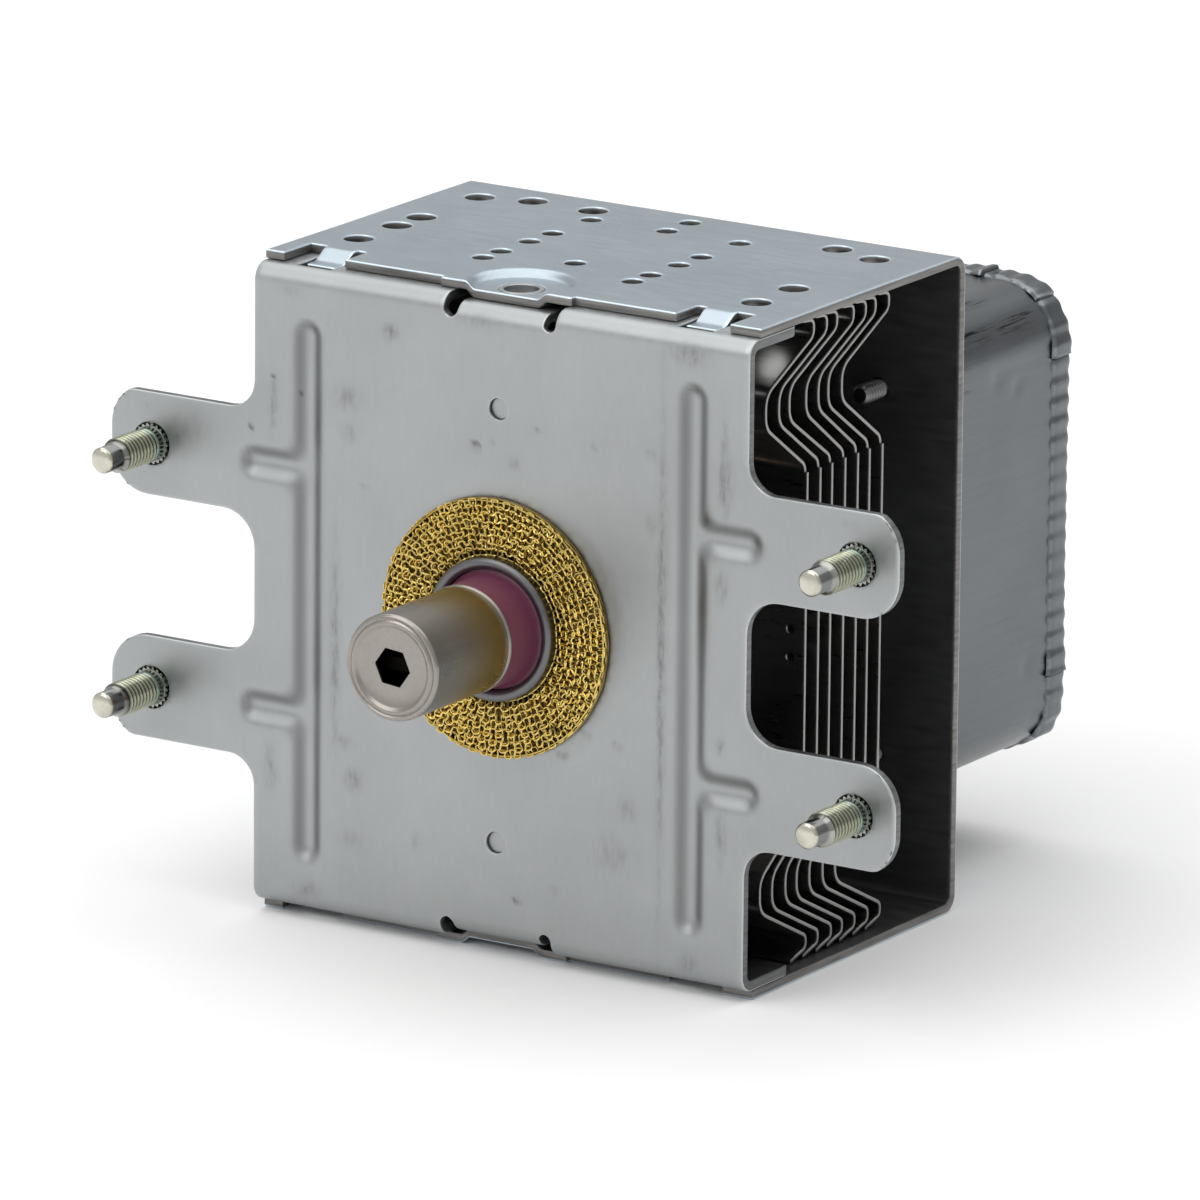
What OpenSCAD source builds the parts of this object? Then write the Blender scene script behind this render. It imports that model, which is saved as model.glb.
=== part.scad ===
// Magnetron tube for a microwave heater, with its yoke, cooling fins and filter box.
// X is across, Y runs back along the tube's axis, Z is up.
// The origin is on the tube's axis at the front face of the front plate.

/* [Yoke] */
// Width of the yoke, and of the front plate between its ears
yoke_w = 81.8; // [76:0.1:92]
// Height over the yoke's upper and lower plates
yoke_h = 95.6; // [92:0.1:106]
// Thickness of the yoke's sheet
yoke_t = 1.3; // [1:0.1:2]
// Outer radius of the yoke's two bends
yoke_bend = 2.5; // [2.2:0.1:4]
// Distance of the yoke's front edges behind the front face
yoke_edge = 4.1; // [3.6:0.1:5]
// Distance of the corner stubs behind the front face
stub_edge = 2.9; // [2.6:0.1:3.4]
// Distance of the middle lug behind the front face
lug_edge = 3.2; // [3:0.1:3.5]
// Width of the middle lug
lug_w = 21.6; // [20:0.1:26]
// Sideways offset of the pressed and drilled pattern
pattern_x = -1; // [-1.5:0.1:1.5]
// Distance of each corner notch's middle from the yoke's side, before the offset
notch_in = 8.8; // [8:0.1:10]
// Width of each corner notch
notch_w = 9.4; // [8.6:0.1:10]
// Depth of each corner notch behind the front face
notch_y = 9.6; // [8:0.1:11]
// Width of the locking tab in each notch
tab_w = 5; // [4:0.1:5.6]
// Inward offset of each locking tab in its notch
tab_shift = 0.6; // [0:0.1:1]
// How far each locking tab is bent in
tab_drop = 1.5; // [1:0.1:1.8]
// Clearance beside the locking tabs in the front plate's flange
tab_gap = 0.4; // [0.2:0.1:0.8]
// Distance of the outer rows of holes from the yoke's sides
hole_in = 7.9; // [7:0.1:9]
// Radius of the wider holes in the upper plate
wide_hole_r = 2.15; // [1.5:0.05:2.6]
// Radius of the narrower holes in the upper plate
small_hole_r = 1.55; // [1:0.05:2]

/* [Lug dimple] */
// Radius of the dimple at the plate's surface
dimple_r = 7.8; // [7.2:0.1:8]
// Radial run of the dimple's wall
dimple_run = 1.3; // [1:0.1:1.8]
// Depth of the dimple
dimple_depth = 1; // [0.6:0.1:1.4]
// Distance of the dimple's middle behind the front face
dimple_y = 7.2; // [6:0.1:8]
// Radius of the eyelet's hole in the dimple
eyelet_r = 3.3; // [2.8:0.1:3.8]
// Wall of the eyelet that joins the front plate to the yoke
eyelet_wall = 0.8; // [0.5:0.1:1.2]

/* [Front plate] */
// Thickness of the front plate
plate_t = 1.5; // [1.2:0.1:2]
// Outer radius of the front plate's bends
plate_bend = 2.5; // [2.2:0.1:3]
// Length of the front plate's flanges from the front face
flange_len = 12; // [11:0.1:13]
// Distance of each relief slot from the middle
slot_x = 8.2; // [8:0.1:9.5]
// Width of the relief slots
slot_w = 2.1; // [1.6:0.1:2.4]
// Length of the relief slots below the flange's face
slot_len = 3.2; // [2.8:0.1:5]
// Spacing of the mounting studs across
stud_x = 117; // [110:0.1:125]
// Spacing of the mounting studs up
stud_z = 35.6; // [34:0.1:40]
// Distance from a stud's middle to the ear's tip
ear_tip = 6.8; // [6.2:0.1:8]
// Height of each ear
ear_h = 15; // [14:0.1:16]
// Radius of the ears' tip corners
ear_r = 6.1; // [5.6:0.1:6.4]
// How far the ears' outer corner circle is cut off by the edge
ear_cut = 0.7; // [0.4:0.1:1]
// Fillet at the ears' outer roots
ear_root_out = 4.2; // [3:0.1:5]
// Fillet at the ears' inner roots
ear_root_in = 5.2; // [3:0.1:6]
// Width of the pressed ribs
rib_w = 3.5; // [3:0.1:4]
// Depth of the pressed ribs
rib_depth = 1.2; // [0.8:0.1:1.4]
// Distance of the upright ribs outside the magnets
rib_gap = 4.9; // [4.2:0.1:5.4]
// Distance of the upright ribs' ends from the yoke's plates
rib_in = 6.5; // [6:0.1:10]
// Length of the ribs across each ear's root
ear_rib_len = 12; // [10:0.5:13]
// Radius of the two half pierced marks
mark_r = 1.2; // [0.8:0.1:1.6]
// Distance of the half pierced marks outside the magnets
mark_gap = 4.2; // [3.5:0.1:7]
// Depth of the half pierced marks
mark_depth = 0.5; // [0.3:0.1:0.7]

/* [Mounting studs] */
// Radius of the stud's thread
stud_r = 2.5; // [2:0.1:3]
// Length of the stud in front of the plate
stud_len = 12.3; // [10:0.1:14]
// Radius of the plain point
point_r = 1.9; // [1.5:0.1:1.95]
// Length of the plain point
point_len = 3.7; // [3:0.1:4.5]
// Chamfer of the plain point
point_edge = 0.4; // [0.2:0.1:0.6]
// Radius of the knurled ring pressed into the plate
knurl_r = 3.3; // [3.2:0.05:3.8]
// Radius of the flat head behind the plate
stud_head_r = 4.2; // [4:0.1:4.6]
// Thickness of the flat head
stud_head_t = 1.2; // [1:0.1:1.6]

/* [Output] */
// Radius of the antenna cap
cap_r = 7.6; // [7.3:0.05:8]
// Distance of the cap's tip in front of the plate
cap_tip = 26.5; // [24:0.1:30]
// Wall of the cap
cap_wall = 0.5; // [0.4:0.05:0.8]
// Radius of the cap's rounded rim
cap_round = 1.1; // [0.8:0.1:1.4]
// Depth of the cap's recessed end
cap_recess = 0.5; // [0.3:0.05:0.7]
// Height of the bead round the cap's base
cap_bead = 0.15; // [0.1:0.05:0.25]
// Width of the bead round the cap's base
cap_bead_w = 0.5; // [0.3:0.1:0.8]
// Corner radius of the cap's six sided hole
hex_r = 2.9; // [2.4:0.1:3.2]
// Radius of the output ceramic
ceramic_r = 8.5; // [8.2:0.1:8.8]
// Bore radius of the output ceramic
ceramic_bore = 6; // [5.4:0.1:6.2]
// Distance of the ceramic's front end in front of the plate
ceramic_tip = 9.4; // [8:0.1:11]
// Thickness of the collar between ceramic and cap
collar_t = 0.5; // [0.4:0.05:0.8]
// Radius of the pinched exhaust tube
exhaust_r = 4.2; // [3.8:0.1:4.6]
// Wall of the exhaust tube
exhaust_wall = 0.9; // [0.7:0.05:1.1]
// Length of the exhaust tube's pinched end
pinch_len = 4; // [3:0.1:5]
// Distance of the pinched end's root behind the cap's tip
pinch_back = 6.5; // [6:0.1:8]
// How far the exhaust tube reaches into the ceramic
exhaust_in = 2; // [1:0.1:3]
// Radius of the antenna lead
lead_r = 1.2; // [1:0.05:1.4]
// Distance of the antenna lead outside the outer strap rings
lead_out = 2.4; // [2:0.1:2.8]
// Clearance of the antenna lead in the pole piece
lead_gap = 1.5; // [1.4:0.1:1.8]
// Clearance of the tube in the front plate
tube_gap = 0.6; // [0.4:0.1:1]
// Outer radius of the knitted gasket
gasket_r = 18.65; // [17:0.05:20]
// Height of the knitted gasket
gasket_h = 1.4; // [1:0.1:2]
// Height of the ring inside the gasket
ring_h = 2.4; // [2:0.1:3]
// Wall of the ring inside the gasket
ring_wall = 0.4; // [0.3:0.05:0.6]
// Radius of the ring's rolled lip
lip_r = 0.4; // [0.35:0.05:0.5]

/* [Tube] */
// Outer radius of the anode cylinder
anode_r = 19.5; // [19:0.1:21]
// Wall of the anode cylinder
anode_wall = 2; // [1.8:0.1:2.6]
// Length of the anode cylinder
anode_len = 27.9; // [27:0.1:31]
// Wall of the anode at the pole pieces' seats
seat_wall = 1.1; // [0.8:0.1:1.4]
// Number of vanes
vane_count = 10; // [8:2:12]
// Thickness of a vane
vane_t = 2; // [1.6:0.1:2.2]
// Height of a vane along the axis
vane_h = 9.5; // [9:0.1:10]
// Radius of the space between the vanes' tips
vane_tip_r = 4.6; // [4.4:0.1:5]
// Middle radius of the inner strap rings
strap_in_r = 7.3; // [7.1:0.1:7.4]
// Middle radius of the outer strap rings
strap_out_r = 8.7; // [8.6:0.1:9]
// Width of a strap ring
strap_w = 0.7; // [0.6:0.05:0.8]
// Height of a strap ring
strap_h = 1.3; // [1:0.1:1.5]
// Clearance between the strap rings and the vanes that they pass
strap_gap = 0.4; // [0.3:0.05:0.5]
// Thickness of the pole pieces
pole_t = 1.5; // [1.2:0.1:1.8]
// Depth of the pole pieces' funnel
pole_drop = 5; // [4.4:0.1:5.4]
// Radius of the hole in the pole pieces
pole_hole_r = 4.8; // [4.4:0.1:5.2]
// Width of the pole pieces' flat rim inside the anode
pole_rim = 1.5; // [1:0.1:2]
// Width of the pole pieces' flat round their hole
pole_flat = 2.7; // [2.2:0.1:3]
// Thickness of the sheet metal seals
seal_t = 0.5; // [0.4:0.05:0.7]
// Outer radius of the seals' tubes
seal_r = 9; // [8.9:0.05:9.1]
// Distance of the output ceramic's seat behind the front face
seal_depth = 0.5; // [0.3:0.1:1]
// Width of the seals' lips outside the ceramics' bore
seal_lip = 0.2; // [0.1:0.05:0.3]
// Middle radius of the filament's coil
filament_r = 1.95; // [1.8:0.05:2.2]
// Radius of the filament's wire
filament_wire = 0.3; // [0.2:0.05:0.35]
// Turns of the filament
filament_turns = 7; // [5:1:8]
// How much longer the filament is than the vanes
filament_over = 0.8; // [0.4:0.1:1.2]
// Radius of the end hats
hat_r = 3.6; // [3.2:0.1:3.9]
// Thickness of the end hats
hat_t = 1; // [0.8:0.1:1.3]
// Clearance of the centre lead in the rear hat
hat_gap = 0.6; // [0.4:0.1:0.8]
// Radius of the two cathode leads
cathode_lead_r = 0.7; // [0.5:0.05:0.8]
// Distance of the side lead below the axis
side_lead_z = 2.6; // [2.4:0.1:2.9]
// Radius of the cathode stem's ceramic
stem_r = 8.6; // [8:0.1:8.9]
// Length of the cathode stem's ceramic
stem_len = 11; // [9:0.5:13]
// How far the cathode stem's ceramic starts inside the yoke
stem_in = 1.5; // [1:0.1:3]
// Clearance round the cathode stem in the yoke and the box
stem_gap = 2.5; // [2:0.1:4]
// Thickness of the cathode's terminal strips
strip_t = 0.6; // [0.4:0.1:0.8]
// Width of the terminal strips
strip_w = 3; // [2.4:0.1:4]
// Distance of the terminal strips' ends from the axis
strip_end = 6.4; // [5.6:0.1:7.5]
// Margin of the terminal strips beside a lead
strip_margin = 0.3; // [0.2:0.05:0.4]

/* [Magnets] */
// Radius of the magnets
magnet_r = 27; // [25:0.1:29]
// Thickness of each magnet
magnet_t = 12.5; // [12:0.1:14]
// Bore radius of the magnets
magnet_bore = 11; // [10.5:0.1:13]

/* [Cooling fins] */
// Number of fins
fin_count = 7; // [5:1:7]
// Inset of the fins' flat middle from the magnets' edge
fin_flat_in = 2; // [1.4:0.1:2.2]
// Spacing of the fins
fin_pitch = 3.29; // [3:0.01:3.5]
// Thickness of a fin
fin_t = 0.5; // [0.4:0.05:0.6]
// Inset of the fins' ends from the yoke's sides
fin_inset = 2.3; // [1.5:0.1:4]
// Extra length of the fins' middle part at each end
fin_step = 0.4; // [0.1:0.1:0.8]
// Distance of the longer middle part's ends from the fins' first bends
fin_step_in = 1; // [0.5:0.1:2]
// How far the fins' arms reach forward
fin_reach = 10.4; // [9:0.1:11]
// Height of the fins' upright arm
fin_arm_h = 4.7; // [4:0.1:5]
// Distance of the fins' curl behind their middle
fin_curl = 1.8; // [1.2:0.1:2]
// Height of the upright stretch of the fins' curl
fin_curl_h = 1.8; // [1.6:0.1:2.2]
// Radius of the fins' bends at the middle of the sheet
fin_bend = 0.9; // [0.6:0.1:1]
// Gap between a fin's flange at the upper plate and the fin before it
fin_flange_gap = 0.7; // [0.6:0.1:1.2]
// Length of the fins' foot at the lower plate
fin_foot = 4; // [3:0.1:4.4]
// Rise of the fins' foot above the lower plate
fin_foot_rise = 1.1; // [0.6:0.1:1.4]
// Gap between the fins and the yoke's plates
fin_gap = 0.2; // [0.1:0.05:0.4]
// Gap between a fin's collar on the anode and the next fin
fin_collar_gap = 0.6; // [0.5:0.1:1.2]
// Radius of the two small holes near each fin's end
fin_hole_r = 0.7; // [0.5:0.1:0.9]
// Spacing of the two small holes
fin_hole_pitch = 4.1; // [3:0.1:5]
// Distance of the small holes' middle below the axis
fin_hole_low = 0.75; // [0:0.05:2]
// Distance of the small holes from the fin's end
fin_hole_in = 2; // [1.5:0.1:3]

/* [Filter box] */
// Width of the filter box
box_w = 66.8; // [64:0.1:74]
// Height of the filter box
box_h = 69.3; // [66:0.1:76]
// Corner radius of the filter box
box_r = 8.7; // [6:0.1:10]
// Wall of the filter box
box_wall = 0.8; // [0.6:0.1:1.2]
// Depth of the filter box behind the yoke
box_d = 40.5; // [38:0.1:46]
// Thickness of the lid
lid_t = 0.7; // [0.5:0.1:1]
// Width of the lid's folded rim along the axis
lid_rim = 4.6; // [3.5:0.1:6]
// Wall of the lid's folded rim
lid_wall = 0.55; // [0.4:0.05:0.8]
// Clearance between the box and the lid's rim
lid_gap = 0.1; // [0.05:0.05:0.2]
// Distance of the case screws from the box's sides
screw_in_x = 5.8; // [5.2:0.1:7]
// Distance of the case screws from the box's upper and lower walls
screw_in_z = 7.9; // [5.2:0.1:9]
// Radius of the case screws
screw_r = 1.5; // [1.2:0.1:1.8]
// Length of the case screws under the head
screw_len = 7; // [5:0.5:9]
// Radius of the case screws' heads
screw_head_r = 3; // [2.6:0.1:3.4]
// Height of the case screws' heads
screw_head_h = 2; // [1.5:0.1:2.4]

/* [Chokes and capacitor] */
// Middle radius of the choke coils
coil_r = 4; // [3.6:0.1:4.4]
// Radius of the choke wire
coil_wire = 0.7; // [0.5:0.05:0.75]
// Spacing of the choke's turns
coil_pitch = 1.8; // [1.7:0.05:2]
// Whole turns of each choke, which has half a turn more
coil_turns = 9; // [7:1:10]
// Radius of the choke's ferrite core
core_r = 2.8; // [2:0.1:2.8]
// How far each core reaches past its coil
core_over = 2; // [1:0.1:3]
// Height of the chokes above and below the axis
choke_z = 14; // [13:0.1:16]
// Distance of the chokes before the box's back end
choke_back = 19; // [18:0.1:20]
// Spacing of the capacitor's two terminals
terminal_pitch = 14; // [13:0.1:15]
// Corner radius of the capacitor's body
capacitor_r = 6; // [5:0.1:7]
// Length of the capacitor's body outside the box
capacitor_out = 13; // [10:0.5:16]
// Length of the capacitor's body inside the box
capacitor_in = 5; // [3:0.5:6]
// Margin of the fixing plate beside the capacitor's body
fixing_side = 2; // [1:0.1:2.4]
// Distance from a rivet's middle to the fixing plate's end
fixing_end = 4.5; // [3.5:0.1:6]
// Corner radius of the fixing plate
fixing_r = 3; // [2:0.5:4]
// Thickness of the capacitor's fixing plate
fixing_t = 0.8; // [0.6:0.1:1.2]
// Width of a tab terminal
terminal_w = 6.3; // [4.8:0.1:6.4]
// Thickness of a tab terminal
terminal_t = 0.8; // [0.5:0.1:1]
// Length of a tab terminal
terminal_len = 8; // [6:0.5:10]
// Radius of the capacitor's inner pins
pin_r = 1; // [0.8:0.1:1.2]
// Gap between the capacitor's body and the rivets' heads
rivet_gap = 0.7; // [0.4:0.1:2]
// Radius of the rivets
rivet_r = 1.6; // [1.4:0.1:2]
// Radius of the rivets' heads
rivet_head_r = 2.8; // [2.4:0.1:3]
// Height of the rivets' heads
rivet_head_h = 1; // [0.8:0.1:1.4]

/* [Hidden] */
fit = 0.05;
cut = 1;
bend_steps = 6;
round_fn = 96;
small_fn = 40;

// Places along the axis, from the front plate back
magnet_1_y = plate_t;
anode_y = magnet_1_y + magnet_t + seal_t;
anode_end = anode_y + anode_len;
mid_y = anode_y + anode_len / 2;
magnet_2_y = anode_end + seal_t;
yoke_d = magnet_2_y + magnet_t + yoke_t;
box_end = yoke_d + box_d;
lid_end = box_end + lid_t;

// The yoke's levels, and the two patterns of holes as [x, y] from the front face
yoke_z = yoke_h / 2;
yoke_in_z = yoke_z - yoke_t;
notch_x = yoke_w / 2 - notch_in;
side_row = yoke_w / 2 - hole_in;
side_row_y = [15.8, 25.5];
odd_hole_y = 31.7;
side_row_back = 10;
rear_row_x = [-25.4, -15.2, 25.5];
rear_row_back = 7.8;
wide_holes = [
    for (x = [-side_row, side_row], y = side_row_y) [x, y],
    [-side_row, odd_hole_y],
    for (x = [-side_row, side_row]) [x, yoke_d - side_row_back],
    for (x = rear_row_x) [x, yoke_d - rear_row_back]
];
mid_row = 12.4;
mid_row_y = [16.3, 20.9, 28.2, 34.1];
mid_row_back = 12.6;
axis_hole_y = 20.8;
axis_holes_back = [12.1, 6.1];
small_holes = [
    for (x = [-mid_row, mid_row], y = concat(mid_row_y, yoke_d - mid_row_back)) [x, y],
    [0, axis_hole_y],
    for (back = axis_holes_back) [0, yoke_d - back]
];

// The front plate's levels
plate_half_w = yoke_w / 2;
flange_z = yoke_in_z - fit - plate_t / 2;
mid_flange_z = flange_z - dimple_depth;
slot_z = flange_z + plate_t / 2 - slot_len;
ear_z = stud_z / 2;
ear_end = stud_x / 2 + ear_tip;
rib_x = magnet_r + rib_gap;
rib_end = yoke_in_z - rib_in;
mark_z = magnet_r + mark_gap;
rib_r = (rib_w * rib_w / 4 + rib_depth * rib_depth) / (2 * rib_depth);
plate_hole_r = seal_r + tube_gap;
knurl_hole_r = knurl_r + 2 * fit;

// The output's levels, in front of the plate
seal_bore = seal_r - seal_t;
seal_lip_r = ceramic_bore + seal_lip;
cap_base = ceramic_tip + collar_t;
cap_end = cap_tip - cap_recess;
collar_hole_r = exhaust_r + fit;
pinch_y = cap_tip - pinch_back;
ring_r = plate_hole_r + fit;
gasket_bore = ring_r + ring_wall / 2 + lip_r + fit;

// The tube's inner parts
anode_in = anode_r - anode_wall;
pole_seat_r = anode_r - seat_wall;
pole_cone_out = anode_in - pole_rim;
pole_cone_in = pole_hole_r + pole_flat;
hub_y = anode_y + pole_drop + pole_t;
vane_y = mid_y - vane_h / 2;
lead_z = strap_out_r + lead_out;
filament_len = vane_h + filament_over;
hat_y = mid_y - filament_len / 2;
stem_y = yoke_d - yoke_t - stem_in;
stem_end = stem_y + stem_len;
strip_y = stem_end + strip_t;
strip_side = cathode_lead_r + strip_margin;

// The fins' levels, and how unevenly the real ones are bent
fin_half_w = yoke_w / 2 - fin_inset;
fin_flat = magnet_r - fin_flat_in;
fin_step_z = fin_flat - fin_step_in;
fin_end_z = yoke_in_z - fin_gap - fin_t / 2;
fin_slope_h = (fin_end_z - fin_curl_h - fin_arm_h - fin_flat) / 2;
fin_slope_z = fin_flat + fin_slope_h;
fin_arm_z = fin_slope_z + fin_arm_h;
fin_flange = fin_pitch - fin_t - fin_flange_gap;
fin_collar = fin_pitch - fin_t - fin_collar_gap;
fin_shift = [0, 0.1, -0.1, 0.05, 0.1, -0.1, 0];
fin_lean_up = [0, 0.1, -0.3, 0.2, 0.1, -0.2, 0];
fin_lean_low = [0, -0.2, 0.2, -0.3, -0.3, 0.1, 0];

// The filter box's inner parts
stem_hole_r = seal_r + stem_gap;
case_screw_x = box_w / 2 - screw_in_x;
case_screw_z = box_h / 2 - screw_in_z;
choke_at_y = box_end - choke_back;
capacitor_y = choke_at_y + coil_r;
wall_x = -box_w / 2;
fixing_x = wall_x - fixing_t;
coil_all_turns = coil_turns + 1 / 2;
coil_end_x = -coil_all_turns * coil_pitch;
pin_end_x = coil_end_x + coil_wire;
rivet_z = terminal_pitch / 2 + capacitor_r + rivet_gap + rivet_head_r;
fixing_w = 2 * (capacitor_r + fixing_side);
fixing_h = 2 * (rivet_z + fixing_end);

// Direction and mitre of a bent strip's middle line
function unit(v) = v / norm(v);
function side_of(v) = [-v.y, v.x];
function run_in(path, i) = unit(path[max(i, 1)] - path[max(i, 1) - 1]);
function run_out(path, i) = unit(path[min(i, len(path) - 2) + 1] - path[min(i, len(path) - 2)]);
function mitre(a, b) = (side_of(a) + side_of(b)) / (1 + a * b);

// A corner at b between the legs to a and c, rounded by an arc of radius r
function turned_by(v, a) = [v.x * cos(a) - v.y * sin(a), v.x * sin(a) + v.y * cos(a)];
function rounded(a, b, c, r) =
    let (u = unit(a - b), v = unit(c - b), half = acos(u * v) / 2, m = unit(u + v))
    let (centre = b + m * r / sin(half), side = sign(m.x * u.y - m.y * u.x))
    [for (k = [0:bend_steps]) centre - r * turned_by(m, side * (90 - half) * (2 * k / bend_steps - 1))];
function bent(path, r) = concat(
    [path[0]],
    [for (i = [1:len(path) - 2]) each rounded(path[i - 1], path[i], path[i + 1], r)],
    [path[len(path) - 1]]
);

// Outline of a sheet of thickness t about its middle line
function sheet(path, t) = concat(
    [for (i = [0:len(path) - 1]) path[i] + mitre(run_in(path, i), run_out(path, i)) * t / 2],
    [for (i = [len(path) - 1:-1:0]) path[i] - mitre(run_in(path, i), run_out(path, i)) * t / 2]
);
function ring(r0, r1, y0, y1) = [[r0, y0], [r1, y0], [r1, y1], [r0, y1]];

// A turned shape about the tube's axis, from [radius, y] points
module turned(profile) {
    rotate([-90, 0, 0]) rotate_extrude($fn = round_fn) polygon(profile);
}

// A flat shape in X and Z, carried from y0 to y1
module slab(y0, y1) {
    translate([0, y1, 0]) rotate([90, 0, 0]) linear_extrude(y1 - y0) children();
}

// A shape in Y and Z, carried from x0 to x1
module bar(x0, x1) {
    translate([x0, 0, 0]) rotate([90, 0, 90]) linear_extrude(x1 - x0) children();
}
module rod_y(x, z, r, y0, y1) {
    translate([x, y0, z]) rotate([-90, 0, 0]) cylinder(r = r, h = y1 - y0, $fn = small_fn);
}
module rod_x(y, z, r, x0, x1) {
    translate([x0, y, z]) rotate([0, 90, 0]) cylinder(r = r, h = x1 - x0, $fn = small_fn);
}
module block(x0, x1, y0, y1, z0, z1) {
    translate([x0, y0, z0]) cube([x1 - x0, y1 - y0, z1 - z0]);
}
module rounded_rect(w, h, r) {
    square([w - 2 * r, h], center = true);
    square([w, h - 2 * r], center = true);
    for (x = [r - w / 2, w / 2 - r], z = [r - h / 2, h / 2 - r])
        translate([x, z]) circle(r, $fn = round_fn);
}
module both_plates() {
    for (low = [0, 1]) mirror([0, 0, low]) children();
}

// A round wire along a path whose direction never meets the axis ref
module wire(path, r, ref, sides = 8) {
    last = len(path) - 1;
    along = [for (i = [0:last]) unit(path[min(i + 1, last)] - path[max(i - 1, 0)])];
    points = [
        for (i = [0:last], j = [0:sides - 1])
            let (n = unit(cross(along[i], ref)), b = cross(along[i], n), a = 360 * j / sides)
            path[i] + r * (cos(a) * n + sin(a) * b)
    ];
    walls = [
        for (i = [0:last - 1], j = [0:sides - 1])
            let (k = (j + 1) % sides, p = i * sides, q = p + sides)
            each [[p + j, q + j, q + k], [p + j, q + k, p + k]]
    ];
    caps = [[for (j = [0:sides - 1]) j], [for (j = [sides - 1:-1:0]) last * sides + j]];
    polyhedron(points, concat(walls, caps), convexity = 10);
}

// One sheet folded to a U, open at both sides, with a lug, notches and locking tabs at its front edges
module yoke() {
    color("silver") difference() {
        union() {
            difference() {
                yoke_sheet();
                both_plates() yoke_edge_cuts();
            }
            both_plates() {
                for (side = [-1, 1]) locking_tab(side);
                pressed_lug();
            }
        }
        both_plates() translate([pattern_x, dimple_y, yoke_in_z - dimple_depth - cut])
            cylinder(r = eyelet_r, h = yoke_t + dimple_depth + 2 * cut, $fn = small_fn);
        for (at = wide_holes) upper_hole(at, wide_hole_r);
        for (at = small_holes) upper_hole(at, small_hole_r);
        turned(ring(0, stem_hole_r, yoke_d - yoke_t - cut, yoke_d + cut));
        case_screw_places(screw_r + fit, yoke_d - yoke_t - cut, yoke_d + cut);
    }
}
module yoke_sheet() {
    mid_z = yoke_z - yoke_t / 2;
    back = yoke_d - yoke_t / 2;
    path = [[stub_edge, mid_z], [back, mid_z], [back, -mid_z], [stub_edge, -mid_z]];
    bar(-yoke_w / 2, yoke_w / 2) polygon(sheet(bent(path, yoke_bend - yoke_t / 2), yoke_t));
}
module yoke_edge_cuts() {
    low = yoke_in_z - cut;
    high = yoke_z + cut;
    front = stub_edge - cut;
    lug_0 = pattern_x - lug_w / 2;
    lug_1 = pattern_x + lug_w / 2;
    notch_0 = pattern_x - notch_x;
    notch_1 = pattern_x + notch_x;
    block(lug_0 - fit, lug_1 + fit, front, lug_edge, low, high);
    block(notch_0, lug_0, front, yoke_edge, low, high);
    block(lug_1, notch_1, front, yoke_edge, low, high);
    for (x = [notch_0, notch_1]) block(x - notch_w / 2, x + notch_w / 2, front, notch_y, low, high);
    translate([pattern_x, dimple_y, low]) cylinder(r = dimple_r, h = high - low, $fn = round_fn);
}

// A tongue of the plate, bent in to lock the front plate's flange
module locking_tab(side) {
    x = pattern_x + side * (notch_x - tab_shift);
    mid_z = yoke_z - yoke_t / 2;
    path = [[notch_y + yoke_t, mid_z], [notch_y - yoke_t / 2, mid_z], [yoke_edge, mid_z - tab_drop]];
    bar(x - tab_w / 2, x + tab_w / 2) polygon(sheet(path, yoke_t));
}

// The dimple round the eyelet's hole, cut off at the lug's front edge
module pressed_lug() {
    floor_r = dimple_r - dimple_run;
    profile = [
        [0, -dimple_depth], [floor_r, -dimple_depth], [dimple_r, 0],
        [dimple_r, -yoke_t], [floor_r, -dimple_depth - yoke_t], [0, -dimple_depth - yoke_t]
    ];
    intersection() {
        translate([pattern_x, dimple_y, yoke_z]) rotate_extrude($fn = round_fn) polygon(profile);
        block(-yoke_w / 2, yoke_w / 2, lug_edge, yoke_d, 0, yoke_h);
    }
}
module upper_hole(at, r) {
    translate([pattern_x + at.x, at.y, yoke_in_z - cut])
        cylinder(r = r, h = yoke_t + 2 * cut, $fn = small_fn);
}

// One pressed sheet with folded upper and lower edges and four ears
module front_plate() {
    color("gainsboro") difference() {
        union() {
            difference() {
                plate_fold(-plate_half_w, plate_half_w, flange_z);
                both_plates() middle_flange_cut();
            }
            both_plates() middle_flange();
            slab(0, plate_t) for (x = [0, 1], z = [0, 1]) mirror([x, 0]) mirror([0, z]) ear_outline();
            intersection() {
                rib_places(rib_r + plate_t);
                block(-ear_end, ear_end, plate_t / 2, plate_t + rib_depth, -yoke_z, yoke_z);
            }
            for (z = [-mark_z, mark_z]) rod_y(0, z, mark_r, plate_t / 2, plate_t + mark_depth);
        }
        rib_places(rib_r);
        for (z = [-mark_z, mark_z]) rod_y(0, z, mark_r, -cut, mark_depth);
        turned(ring(0, plate_hole_r, -cut, plate_t + cut));
        stud_places() rod_y(0, 0, knurl_hole_r, -cut, plate_t + cut);
        both_plates() for (side = [-1, 1]) tab_window(side);
    }
}
module plate_fold(x0, x1, z) {
    mid = plate_t / 2;
    path = [[flange_len, -z], [mid, -z], [mid, z], [flange_len, z]];
    bar(x0, x1) polygon(sheet(bent(path, plate_bend - mid), plate_t));
}

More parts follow.
